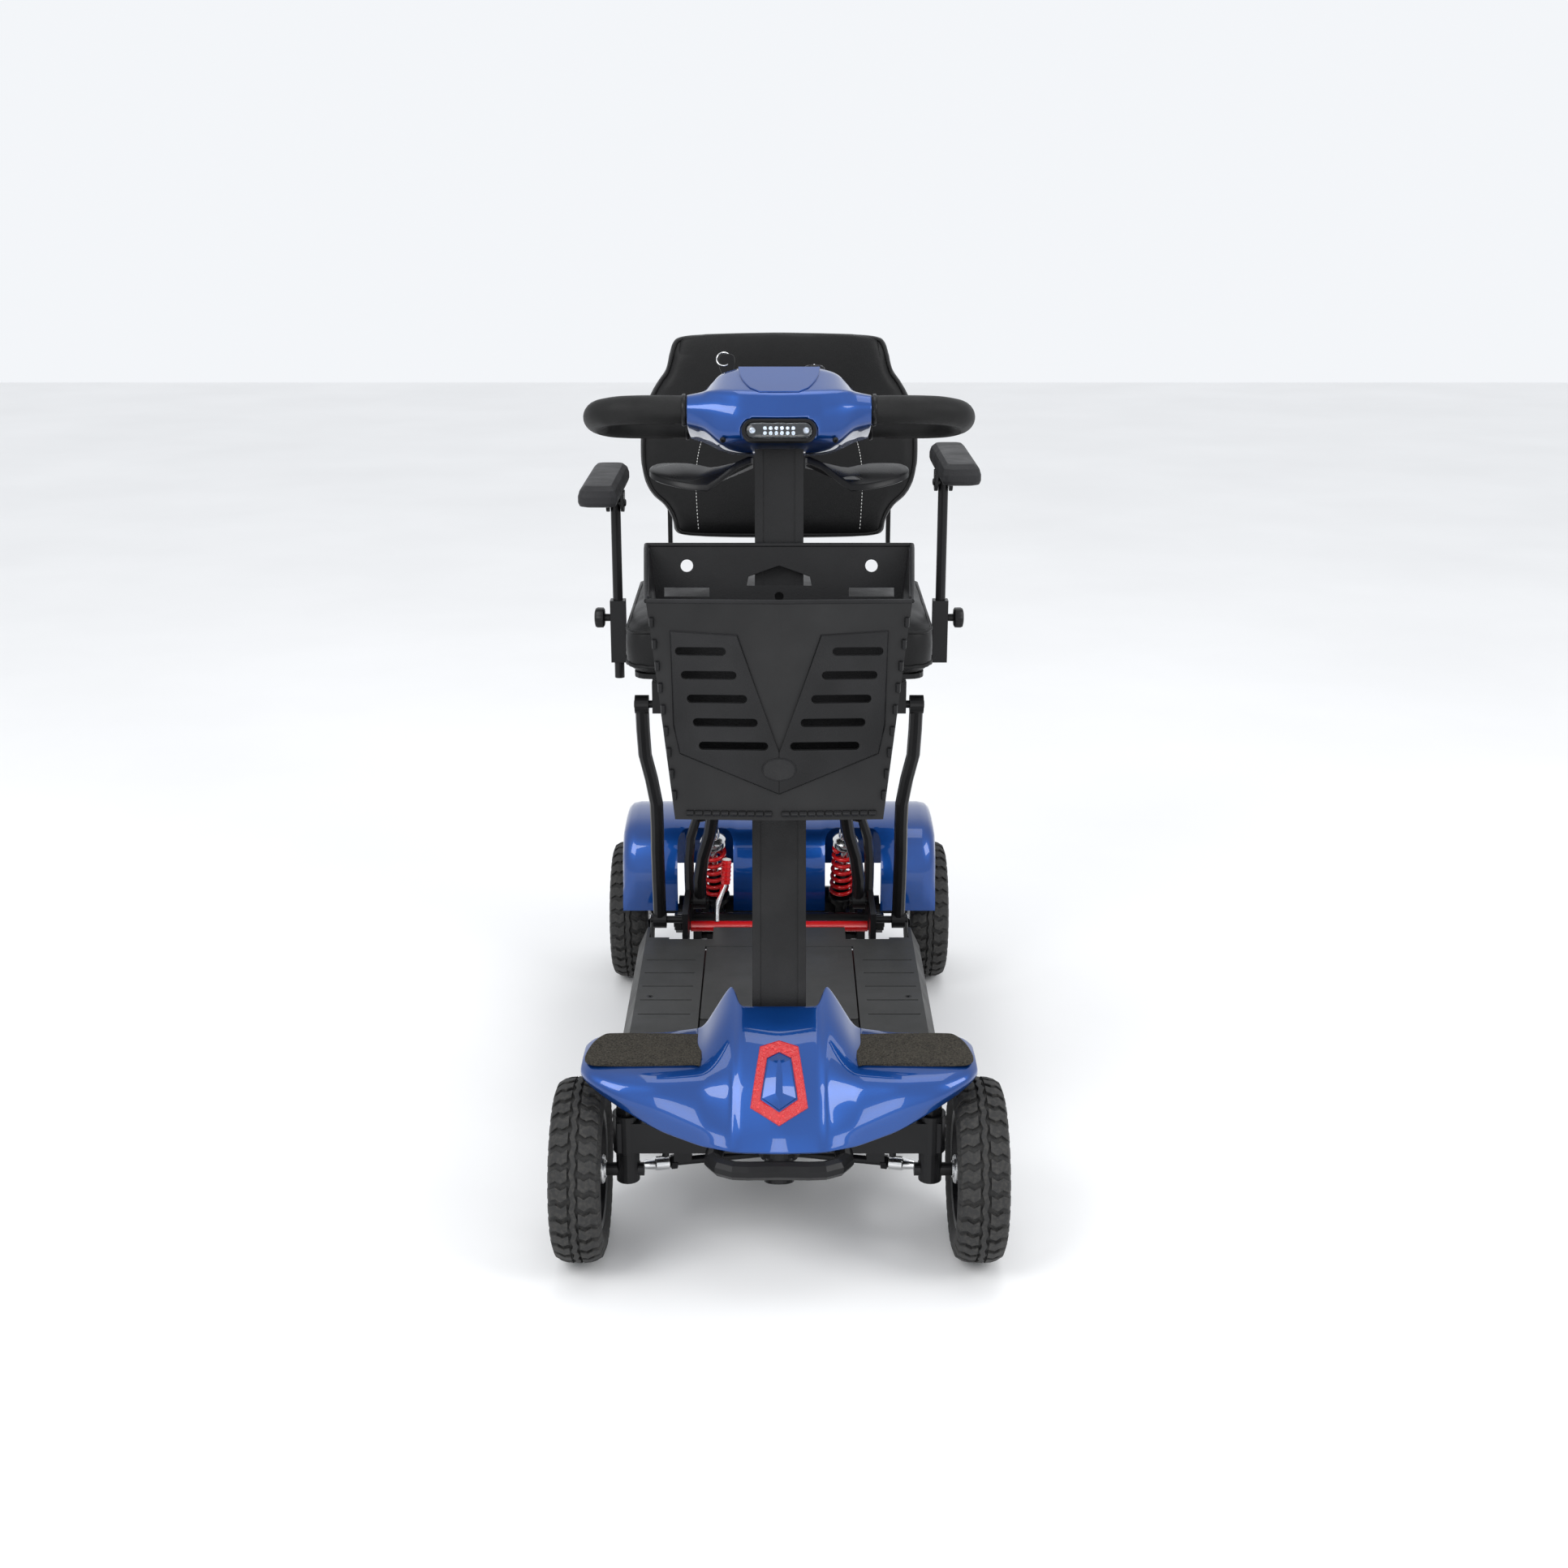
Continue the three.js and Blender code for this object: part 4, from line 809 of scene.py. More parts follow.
def head_panel():
    """The flat trim panel on the sloping top of the head."""
    (top_y, top_s), (front_y, front_s) = HEAD[0][1][4:6]
    slope = math.degrees(math.atan2(top_s - front_s, top_y - front_y))
    lie = TILLER @ placed(0, -0.0075, 0.7593, slope)
    outline = [(-46, 33), (46, 33)] + [(46 - 17 * t * t, 33 - 62 * t) for t in (0.3, 0.55, 0.75, 0.9)]
    outline += [(22, -33), (-22, -33)] + [(-46 + 17 * t * t, 33 - 62 * t) for t in (0.9, 0.75, 0.55, 0.3)]
    shape = Shape()
    rings = []
    for shrink, z in ((1.0, -0.003), (1.0, 0.0009), (0.985, 0.0014), (0.97, 0.0014)):
        rings.append([lie @ Vector((x * shrink * MM, y * shrink * MM, z)) for x, y in outline])
    shape.rings(rings)
    shape.piece("head_trim", "upper_tiller", "blue_paint", (), 40)


def head_screws():
    shape = Shape()
    for sign in (1, -1):
        bolt(shape, TILLER @ Vector((sign * 0.062, -0.0312, 0.690)), (0, -0.9, -0.35), 3.4, 2.5)
    shape.piece("head_screws", "upper_tiller", "black_frame", (), 34, slot="steel")


# Middle line of one handlebar loop, (distance from the middle, y, s) in the tiller's frame.
GRIP_RUN = ((103.5, -8, 726), (120, -9.5, 726), (140, -10, 726), (160, -8, 726), (178, -3, 726),
            (193, 6, 725.5),
            (203, 20, 725), (207, 40, 724), (204, 60, 723.5), (194, 75, 723), (176, 84, 723),
            (156, 86, 723),
            (130, 86, 723), (103.5, 86, 723))


def handlebars():
    for side, sign in SIDES:
        run = metres(spline([(sign * x, y, s) for x, y, s in GRIP_RUN], 4))
        shape = Shape().tube(run, 15.7, 28)
        shape.piece(f"grip_{side}", "upper_tiller", "grip_rubber", (f"handlebar_{side}",), 60, TILLER)
        trim = Shape()
        for end in (0, -1):
            trim.lathe([(15.9, 0.0), (17.6, 0.6), (17.8, 3.2), (17.1, 4.4), (15.9, 4.6)],
                       run[end], (sign, 0, 0), 36)
        trim.piece(f"grip_collar_{side}", "upper_tiller", "smooth_plastic", (), 40, TILLER)
        seam = Shape()
        for height in (0.0156, -0.0156):
            seam.tube([p + Vector((0, 0, height)) for p in run[3:-3]], 0.5, 6)
        seam.piece(f"grip_seam_{side}", "upper_tiller", "grip_rubber", (), 60, TILLER)


def rounded_rings(face, levels):
    """Rounded rings of (half width, half height, depth) in millimetres, in the frame of a face."""
    rings = []
    for half, high, z in levels:
        ring = round_rect(half * MM, high * MM, high * 0.96 * MM)
        rings.append([face @ Vector((x, y, z * MM)) for x, y in ring])
    return rings


def headlight():
    """The housing let into the front of the head, two rows of light chips and the clear lens."""
    face = TILLER @ placed(0, 0, LIGHT_S, 90)
    ahead = face.to_3x3() @ Vector((0, 0, 1))
    shape = Shape().rings(rounded_rings(face, (
        (41.3, 12.8, 34.5), (41.3, 12.8, 44.0), (40.3, 11.9, 45.4), (37.2, 9.2, 45.4), (36.4, 8.5, 43.2),
        (36.4, 8.5, 41.0))))
    shape.piece("light_housing", "upper_tiller", "smooth_plastic", ("headlight",), 40)
    chips = Shape()
    for row in (-1, 1):
        for i in range(6):
            spot = face @ Vector(((i - 2.5) * 0.0062, row * 0.0026, 0.0411))
            chips.lathe([(2.2, 0), (2.1, 0.9), (1.1, 0.6), (0.9, 1)], spot,
                        ahead, 8, math.pi / 8)
    for sign in (-1, 1):
        bolt(chips, face @ Vector((sign * 0.0293, 0, 0.0412)), ahead, 3.6, 2.6)
    chips.piece("light_chips", "upper_tiller", "led", (), 30)
    lens = Shape().rings(rounded_rings(face, (
        (36.1, 8.3, 43.6), (36.1, 8.3, 45.0), (34.6, 7.0, 45.9), (20.0, 3.4, 46.0))))
    lens.piece("light_lens", "upper_tiller", "lens", (), 60)


PADDLE_DROOP = 32.0  # millimetres at the front edge
SWITCH_Y = 0.058


def throttle_paddles():
    """Two curved finger paddles on one rocker under the head."""
    edge = ((22, 40), (60, 35), (92, 36), (120, 45), (143, 60), (150, 76), (145, 92), (130, 98), (110, 97),
            (92, 88),
            (70, 76), (22, 74))
    shape = Shape()
    for sign in (-1, 1):
        outline = spline([(x, y, 0) for x, y in edge], 3, True)
        middle = Vector((88, 66, 0))
        rings = []
        for shrink, s in ((0.955, 671.2), (1.0, 672.8), (1.0, 678.6), (0.955, 680.2)):
            ring = []
            for p in outline:
                q = middle + (p - middle) * shrink
                droop = PADDLE_DROOP * min(1.0, max(0.0,
                                                    (q.x - 40) / 40)) * ((98 - min(q.y, 98)) / 64) ** 1.2
                ring.append(Vector((sign * min(max(q.x, 30), 150), min(max(q.y, 34), 98), s - droop)) * MM)
            rings.append(ring)
        shape.rings(rings)
    shape.piece("throttle_paddles", "throttle_lever", "smooth_plastic", ("throttle_lever",), 44,
                TILLER)


def ignition_key():
    """Key blade and head in the switch, and a split ring beside the head."""
    seat = TILLER @ placed(-0.060, SWITCH_Y, 0)
    metal = Shape()
    metal.lathe([(5.5, 763.5), (5.5, 769.5), (6.6, 770), (6.6, 771.5), (4, 771.8)],
                (0, 0, 0), (0, 0, 1), 24)
    metal.prism([(-0.0035, -0.001), (0.0035, -0.001), (0.0035, 0.001), (-0.0035, 0.001)], 0.7718, 0.778)
    ring = [(-0.0035 - x, y * 0.3, 0.7935 + y) for x, y in circle(0.008, 28)]
    metal.tube(ring, 0.8, 8, loop=True)
    metal.piece("key_metal", "ignition_key", "steel", (), 40, seat)
    cap = Shape()
    outline = [(-4, 776), (4, 776), (7, 780), (9.5, 788), (9, 795), (5, 799), (-5, 799), (-9, 795),
               (-9.5, 788),
               (-7, 780)]
    upright = placed(0, 0, 0, 90)
    loop = [(p.x * MM, p.y * MM) for p in spline([(x, y, 0) for x, y in outline], 3, True)]
    cap.prism(loop, -0.0026, 0.0026, upright)
    obj = cap.piece("key_head", "ignition_key", "smooth_plastic", ("ignition_key",), 40, seat)
    soften(obj, 0.0012, 3)


def speed_dial():
    """A fluted knob with a pointer line on a plain plate."""
    seat = TILLER @ placed(0.040, SWITCH_Y, 0)
    shape = Shape()
    rings = []
    for radius, s in ((0.0128, 0.7655), (0.0128, 0.7790), (0.0120, 0.7838), (0.0098, 0.7856)):
        ring = []
        for k in range(72):
            a = TURN * k / 72
            flute = 1 - (0.05 if k % 6 in (0, 1) else 0) * (radius > 0.0118)
            ring.append(Vector((radius * flute * math.cos(a), radius * flute * math.sin(a), s)))
        rings.append(ring)
    shape.rings(rings)
    shape.piece("dial_knob", "speed_dial", "smooth_plastic", ("speed_dial",), 34, seat)
    line = Shape()
    line.prism([(-0.0007, -0.0115), (0.0007, -0.0115), (0.0007, -0.002), (-0.0007, -0.002)], 0.7848, 0.7859)
    line.piece("dial_mark", "speed_dial", "white_thread", (), 30, seat, slot="steel")


# ---- rear shroud ----
# Outer line of the shroud, (y, z) in millimetres, from its front lower edge over the top to the rear one.
SHROUD = ((291, 141), (289, 165), (289, 192), (293, 214), (302, 234), (316, 250), (334, 260), (364, 265),
          (401, 266),
          (432, 262), (456, 252), (476, 236), (489, 214), (496, 190), (498, 166), (498, 141))
SHROUD_COLUMNS = ((0, -3), (60, -3), (70, 0), (140, 0), (150, 0), (205, 0), (216, -2), (222, -7),
                  (225.4, -16))

ARCH_R = 0.114
SIDEWAYS = Matrix(((0, 0, 1, 0), (1, 0, 0, 0), (0, 1, 0, 0), (0, 0, 0, 1)))  # (y, z, x) to (x, y, z)


def rear_shroud():
    """The shell with its rounded ends, two pockets at the back and the wheel arches."""
    columns = [(-x, drop) for x, drop in reversed(SHROUD_COLUMNS[1:])] + list(SHROUD_COLUMNS)
    middle = Vector((394, 140))
    grid = []
    for x, drop in columns:
        line = []
        for p in spline([(0, y, z) for y, z in SHROUD], 2):
            out = Vector((p.y, p.z)) - middle
            top = max(0.0, min(1.0, (p.z - 150) / 40))
            q = Vector((p.y, p.z)) + out.normalized() * drop * top
            line.append(Vector((x, q.x, q.y)) * MM)
        grid.append(line)
    obj = shell(grid, 0.0035).piece("shroud_shell", "rear_chassis", "blue_paint", ("rear_shroud",), 34)
    cutter = Shape()
    for sign in (-1, 1):
        upright = placed(0, 0, 0, 90)
        pocket = [(sign * 0.106 + a, 0.178 + b) for a, b in round_rect(0.040, 0.078, 0.016)]
        cutter.prism(pocket, -0.335, -0.27, upright)
        arch = [(AXLE_Y + a, WHEEL_R + b) for a, b in circle(ARCH_R, 72)]
        cutter.prism(arch, *sorted((sign * 0.186, sign * 0.235)), SIDEWAYS)
    carve(obj, cutter)
    tidy_normals(obj, 34)
    shroud_trim()


def shroud_trim():
    """Black edging of the wheel arches, and the tail reflectors."""
    edge = Shape()
    for sign in (-1, 1):
        arch = [(sign * 0.2, AXLE_Y + a, WHEEL_R + b) for a, b in circle(ARCH_R + 0.0015, 72) if b > 0.045]
        arch.sort(key=lambda p: -p[1])
        edge.tube(arch, 1.8, 8)
    edge.piece("shroud_edging", "rear_chassis", "smooth_plastic", (), 50)
    lamp = Shape()
    for sign in (-1, 1):
        face = placed(sign * 0.140, 0.4975, 0.182, -90)
        rings = []
        for half, high, z in ((30, 10, -0.6), (30, 10, 1.4), (28.6, 8.8, 2.3), (20, 6, 2.6)):
            rings.append([face @ Vector((x, y, z * MM)) for x,
                          y in round_rect(half * MM, high * MM, 0.0055)])
        lamp.rings(rings)
    lamp.piece("tail_reflectors", "rear_chassis", "red_reflector", (), 40)


# ---- shock absorbers ----
SHOCK_LOW = (0.090, 0.350, 0.120)
SHOCK_HIGH = (0.097, 0.297, 0.276)
COIL_TURNS = 6.5
COIL_STEPS = 22  # points in each turn
COIL_R = 0.0155


def mirrored(point, sign):
    return Vector((sign * point[0], point[1], point[2]))


def shocks():
    """Rod, upper eye, body and spring of each coil-over shock."""
    for side, sign in SIDES:
        low, high = mirrored(SHOCK_LOW, sign), mirrored(SHOCK_HIGH, sign)
        along = (high - low).normalized()
        long = (high - low).length / MM
        node = f"shock_{side}"
        spring_coil(side, low, along, long, node)
        chrome = Shape()
        chrome.lathe([(4.5, 28), (4.5, long - 45)], low, along, 24)
        chrome.lathe([(7.5, long - 46), (17.2, long - 44), (18.6, long - 41), (18.6, long - 33),
                      (15, long - 30), (10.5, long - 28), (10, long - 18), (8.5, long - 16)],
                     low, along, 36)
        chrome.piece(f"shock_rod_{side}", "rear_chassis", "steel", (node,), 34)
        top = Shape().lathe([(8.5, -9), (10.5, -8.5), (10.5, 8.5), (8.5, 9)],
                            high - along * 0.0095, (1, 0, 0), 28)
        top.piece(f"shock_eye_top_{side}", "rear_chassis", "black_frame", (), 34)
        foot = Shape()
        foot.lathe([(8.5, 6), (10, 7), (10, 18), (15, 20.5), (18.6, 22),
                    (18.6, 29), (17.2, 31), (11, 32), (11, 62), (9.5, 64)],
                   low, along, 36)
        foot.lathe([(8, -8), (9.5, -7.5), (9.5, 7.5), (8, 8)], low + along * 0.004,
                   (1, 0, 0), 28)
        foot.piece(f"shock_body_{side}", "swing_axle", "black_frame", (node,), 34)


def spring_coil(side, low, along, long, node):
    """The red spring coiled between the shock's seats; it is baked in place and rides on no body."""
    across = along.orthogonal().normalized()
    up = along.cross(across)
    start, end = 33.5 * MM, (long - 48.5) * MM
    steps = int(COIL_TURNS * COIL_STEPS)
    run = []
    for k in range(steps + 1):
        t = k / steps
        turn = TURN * COIL_TURNS * t
        run.append(low + along * (start + (end - start) * t)
                   + (across * math.cos(turn) + up * math.sin(turn)) * COIL_R)
    obj = Shape().tube(run, 3.1, 12).piece(f"spring_{side}", None, "red_paint", (node,), 60)
    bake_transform(obj)


# ---- steering links ----
LINK_INNER = (0.014, -0.322, 0.080)
LINK_OUTER = (0.166, -0.357, 0.082)


def tie_rods():
    for side, sign in SIDES:
        inner, outer = mirrored(LINK_INNER, sign), mirrored(LINK_OUTER, sign)
        along = (outer - inner).normalized()
        long = (outer - inner).length / MM
        rod = Shape()
        rod.tube([inner + along * 0.006, inner + along * 0.05, outer - along * 0.044], 4.8, 24)
        rod.lathe([(7, -7), (7.8, -5.5), (7.8, 4), (7, 5.2)], inner, (0, 0, 1), 28)
        rod.piece(f"link_rod_{side}", f"tie_rod_{side}", "black_frame", (f"tie_rod_{side}",), 34)
        joint = Shape()
        joint.lathe([(6, long - 42), (8, long - 41), (8, long - 26), (6.6, long - 24),
                     (5.2, long - 12)], inner, along, 26)
        joint.lathe([(6.2, -7.5), (8.2, -5.5), (8.2, 5), (6.4, 6.2), (4.5, 6.4)],
                    outer, (0, 0, 1), 30)
        joint.piece(f"rod_end_{side}", f"tie_rod_{side}", "steel", (f"tie_rod_{side}",), 34)
        nuts = Shape()
        nuts.lathe([(6.2, long - 51), (8.6, long - 50), (8.6, long - 43.5), (6.2, long - 42.5)],
                   inner, along, 6)
        nuts.piece(f"lock_nut_{side}", f"tie_rod_{side}", "black_frame", (), 30)


# ---- basket ----
# Lower and upper edge of the front panel, (y, s) in millimetres in the tiller's frame.
PANEL_FOOT = (-131, 276)
PANEL_TOP = (-172, 505)
PANEL_TALL = math.dist(PANEL_FOOT, PANEL_TOP)
PANEL_LEAN = math.degrees(math.atan2(PANEL_FOOT[0] - PANEL_TOP[0], PANEL_TOP[1] - PANEL_FOOT[1]))
PANEL = TILLER @ placed(0, PANEL_FOOT[0] * MM, PANEL_FOOT[1] * MM, PANEL_LEAN)
CREASE = 9 / 152  # how far the panel falls back for each millimetre from its middle


def on_panel(x, up, proud):
    """A point on the front panel, which is creased along its middle, raised by proud."""
    return PANEL @ Vector((x * MM, (abs(x) * CREASE - proud) * MM, up * MM))


def basket_emboss():
    """The raised V of slots and the blank medallion of the front panel, then its hinges and rim."""
    tall = PANEL_TALL
    for side, sign in SIDES:
        plate = Shape()
        edge = ((44, tall - 36), (113, tall - 32), (110, tall - 130), (104, tall - 160), (0.2, 30),
                (0.2, tall - 159))
        rings = []
        cx, cy = 72, tall - 108
        for grow, proud in ((2.4, -0.6), (0.0, 2.6), (-1.2, 3.0)):
            ring = []
            for x, up in edge:
                away = Vector((x - cx, up - cy)).normalized() * grow
                px = x if x < 1 else max(0.2, x + away.x)
                ring.append(on_panel(sign * px, up + away.y, proud))
            rings.append(ring)
        plate.rings(rings)
        slots = Shape()
        for i in range(5):
            inner, outer = 60 - 11 * i, 104 - 6 * i
            up = tall - 52 - 25 * i
            loop = []
            for a, b in round_rect((outer - inner) / 2 + 4.5, 4.4, 4.39, 5):
                loop.append((sign * ((inner + outer) / 2 + a), up + b))
            slots.rings([[on_panel(x, y, -1.5) for x, y in loop], [on_panel(x, y, 6) for x, y in loop]])
        name = f"basket_raised_{side}"
        obj = plate.piece(name, "basket", "black_plastic", (), 25)
        carve(obj, slots)
        tidy_normals(obj, 25)
    medal = Shape()
    rings = []
    for size, proud in ((1.0, 2.6), (1.0, 3.6), (0.93, 3.9), (0.90, 3.4), (0.10, 3.3)):
        rings.append([on_panel(18.5 * size * math.cos(a), 56 + 12.5 * size * math.sin(a), proud)
                      for a in turns(40)])
    medal.rings(rings)
    medal.piece("basket_medallion", "basket", "smooth_plastic", (), 30)
    basket_hinges(tall)


def basket_hinges(tall):
    barrels = Shape()
    for k in range(22):
        x = -99 + 9.2 * k + 0.6
        if abs(x + 4) > 3:
            barrels.lathe([(2.6, 0), (3, 0.4), (3, 7.6), (2.6, 8)],
                          on_panel(x, 7.5, 1.2), (1, 0, 0), 12)
    for sign in (-1, 1):
        for k in range(9):
            up = 22 + 23 * k
            wide = (112 + 35 * (up * 0.984 + 276 - 290) / 285) - 2.4
            barrels.lathe([(2.2, 0), (2.6, 0.4), (2.6, 9.6), (2.2, 10)],
                          on_panel(sign * wide, up, 0.4), (0, -0.17, 0.98), 10)
    barrels.piece("basket_hinges", "basket", "smooth_plastic", (), 40)
    rim = Shape()
    line = [on_panel(x, tall - 0.5, -1.6) for x in (-138, -100, -50, 0, 50, 100, 138)]
    rim.tube(line, 2.6, 10)
    for sign in (-1, 1):
        side = [on_panel(sign * 138, tall - 0.5, -1.6), TILLER @ Vector((sign * 0.1455, -0.052, 0.569)),
                TILLER @ Vector((sign * 0.1465, -0.032, 0.5745))]
        rim.tube(side, 2.6, 10)
    rim.tube([TILLER @ Vector((x * MM, -0.0292, 0.5745)) for x in (-146, -70, 0, 70, 146)], 2.8, 10)
    rim.piece("basket_rim", "basket", "black_plastic", (), 50)


# ---- seat ----
VOXEL = 0.006
CLOTH_FRAMES = 20
SUNK = 0.35  # height of the middle of the piping over the pad, as a share of its radius


def inflate(obj, pressure, most):
    """Fills a pad with air: it swells under cloth tension and no point moves further than most."""
    remesh = obj.modifiers.new("remesh", "REMESH")
    remesh.mode = "VOXEL"
    remesh.voxel_size = VOXEL
    apply_all(obj)
    rest = [v.co.copy() for v in obj.data.vertices]
    cloth = obj.modifiers.new("cloth", "CLOTH")
    cloth.settings.use_pressure = True
    cloth.settings.uniform_pressure_force = pressure
    cloth.settings.effector_weights.gravity = 0
    cloth.settings.quality = 4
    cloth.settings.tension_stiffness = 12
    cloth.settings.bending_stiffness = 0.3
    cloth.collision_settings.use_collision = False
    cloth.point_cache.frame_end = CLOTH_FRAMES
    for number in range(1, CLOTH_FRAMES + 1):
        scene.frame_set(number)
    apply_all(obj)
    scene.frame_set(1)
    for vertex, start in zip(obj.data.vertices, rest):
        move = vertex.co - start
        if move.length > most:
            vertex.co = start + move.normalized() * most


def pad(name, rings, body, node, pressure, most, place=None):
    """One sewn pad made from its rings, blown up and smoothed, hiding the CAD node it replaces."""
    obj = Shape().rings(rings).piece(name, body, "vinyl", (node,), 180, place)
    inflate(obj, pressure, most)
    relax = obj.modifiers.new("relax", "SMOOTH")
    relax.factor = 0.5
    relax.iterations = 6
    apply_all(obj)
    subdivide(obj, 1)
    apply_all(obj)
    shade_smooth(obj)
    obj.data.materials.clear()
    obj.data.materials.append(MATS["vinyl"])
    return obj


def lay_piping(name, body, pad_obj, lines, radius):
    """Piping laid along the finished pad's nearest surface; its radius is in millimetres."""
    shape = Shape()
    for line in lines:
        run = []
        for p in line:
            found, place, normal, _ = pad_obj.closest_point_on_mesh(p)
            run.append(place + normal * radius * SUNK * MM if found else p)
        shape.tube(run, radius, 8, loop=True)
    obj = shape.piece(name, body, "vinyl", (), 60)


SEAT_HALF = (0.2010, 0.1735)
SEAT_CORNER = 0.036
SEAT_Y = 0.2325


def seat_outline(grow):
    """Plan of the seat cushion, its sides drawn in a little between the corners."""
    corners = round_rect(SEAT_HALF[0] + grow, SEAT_HALF[1] + grow, SEAT_CORNER, 8)
    out = []
    for x, y in corners:
        waist = 0.0045 * (1 - (y / 0.17) ** 2)
        out.append((x - math.copysign(waist, x) * (abs(x) > 0.12), y + SEAT_Y))
    return out


def seat_cushion():
    rings = []
    for grow, z in ((-0.052, 0.5505), (-0.008, 0.5505), (0.0, 0.5565), (0.002, 0.583), (0.0, 0.606),
                    (-0.008, 0.6125),
                    (-0.052, 0.6165), (-0.105, 0.6185)):
        rings.append([Vector((x, y, z)) for x, y in seat_outline(grow)])
    obj = pad("seat_pad", rings, "seat", "seat_cushion", 4.0, 0.0052)
    lines = [[Vector((x, y, z)) for x, y in seat_outline(0.006)] for z in (0.6115, 0.5560)]
    lay_piping("seat_piping", "seat", obj, lines, 2.4)


# Half outline of the backrest in its own frame, (x, height) in millimetres.
BACK_OUTLINE = ((0, -36), (80, -36), (138, -33), (146, -14), (158, 8), (176, 24), (188, 52), (191, 90),
                (186, 138),
                (166, 178), (156, 190), (146, 224), (134, 238), (80, 241), (0, 242))


def back_outline(shrink):
    half = spline([(x, 0, z) for x, z in BACK_OUTLINE], 3)
    loop = [Vector((-p.x, 0, p.z)) for p in reversed(half[1:-1])] + half
    middle = Vector((0, 0, 100))
    out = []
    for p in loop:
        away = p - middle
        out.append((p - away.normalized() * shrink) * MM)
    return out


def backrest_cushion():
    rings = []
    for shrink, y in ((48, -58), (4, -58), (-6, -53), (-8, -42), (-8, -36), (-6, -27), (4, -21), (48, -21)):
        rings.append([p + Vector((0, y * MM, 0)) for p in back_outline(shrink)])
    obj = pad("back_pad", rings, "backrest", "backrest_cushion", 3.2, 0.0062, BACK)
    lines = [[BACK @ (p + Vector((0, y * MM, 0))) for p in back_outline(2)] for y in (-57, -22)]
    lay_piping("back_piping", "backrest", obj, lines, 2.3)
    head_wrap()
    stitch_arcs()


def head_wrap():
    """The separate upper panel that covers the top of the backrest."""
    stations = []
    for t in range(9):
        z = 150 + 92 * t / 8
        stations.append((z, 150 - 16 * (t / 8) ** 1.4))
    rings = []
    for z, half in stations:
        ring = []
        for k in range(13):
            u = k / 6 - 1
            belly = 67.5 - 5.5 * u * u - 3.5 * abs((z - 196) / 46) ** 3
            ring.append(Vector((u * half, -belly, z + 1.6 * math.sin(u * 9 + z * 0.06))) * MM)
        for k in range(12, -1, -1):
            u = k / 6 - 1
            belly = 60.0 - 7 * u * u - 3.5 * abs((z - 196) / 46) ** 3
            ring.append(Vector((u * (half - 0.8), -belly, z + 1.6 * math.sin(u * 9 + z * 0.06))) * MM)
        rings.append(ring)
    obj = Shape().rings(rings).piece("back_head_panel", "backrest", "vinyl", (), 180, BACK)
    subdivide(obj)
    apply_all(obj)
    shade_smooth(obj)


def stitch_arcs():
    """Two bowed rows of white stitches down the front of the backrest, laid on the finished pad."""
    pad_obj = bpy.data.objects["back_pad"]
    thread = Shape()
    seam = Shape()
    for sign in (-1, 1):
        line = [Vector((sign * x, -0.09, z)) for x, z in
                ((0.084, 0.142), (0.097, 0.122), (0.107, 0.097), (0.113, 0.070), (0.115, 0.040),
                 (0.114, 0.008),
                 (0.112, -0.026))]
        run = spline(line, 14)
        hits = [on_surface(pad_obj, BACK @ p, (BACK.to_3x3() @ Vector((0, 1, 0)))) for p in run]
        hits = [h for h in hits if h is not None]
        for k in range(0, len(hits) - 1, 2):
            a, b = hits[k], hits[k + 1]
            lift = Vector((0, -0.0004, 0))
            thread.tube([a + lift, (a + b) / 2 + lift * 2.2, b + lift], 0.48, 6)
        if len(hits) > 2:
            seam.tube([h + Vector((0, 0.0003, 0)) for h in hits], 0.9, 6)
    thread.piece("back_stitches", "backrest", "white_thread", (), 60, slot="vinyl")
    seam.piece("back_seams", "backrest", "vinyl", (), 60)


def on_surface(obj, start, direction):
    """The first point of a piece that a ray meets, or None."""
    hit, place, _, _ = obj.ray_cast(start, direction)
    return place if hit else None


# ---- armrests ----
ARM_X = 0.225
ARM_HALF = 0.0243
POST_X = 0.212


def armrests():
    for side, sign in SIDES:
        low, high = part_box(f"armrest_pad_{side}")
        mid = sign * ARM_X
        y0, y1, top = low[1] + 0.001, high[1] - 0.001, high[2]
        shape = Shape()
        rings = []
        for inset, z in ((7.0, top - 0.0275), (1.6, top - 0.0255), (0.0, top - 0.021), (0.0, top - 0.0135),
                         (2.2, top - 0.0062), (7.5, top - 0.0006), (12, top)):
            outline = []
            for a, b in round_rect(ARM_HALF - inset * MM, (y1 - y0) / 2 - inset * 1.5 * MM,
                                   0.011 - inset * 0.0003, 4):
                sag = 0.0011 * (1 - (b / 0.115) ** 2) if z > top - 0.003 else 0
                outline.append(Vector((mid + a, (y0 + y1) / 2 + b, z - sag)))
            rings.append(outline)
        shape.rings(rings)
        obj = shape.piece(f"arm_pad_{side}", f"armrest_{side}", "armrest_skin",
                          (f"armrest_pad_{side}",), 60)
        soften(obj, 0.0012, 2, 20)
        arm_bracket(side, sign, top)
        arm_knob(side, sign)


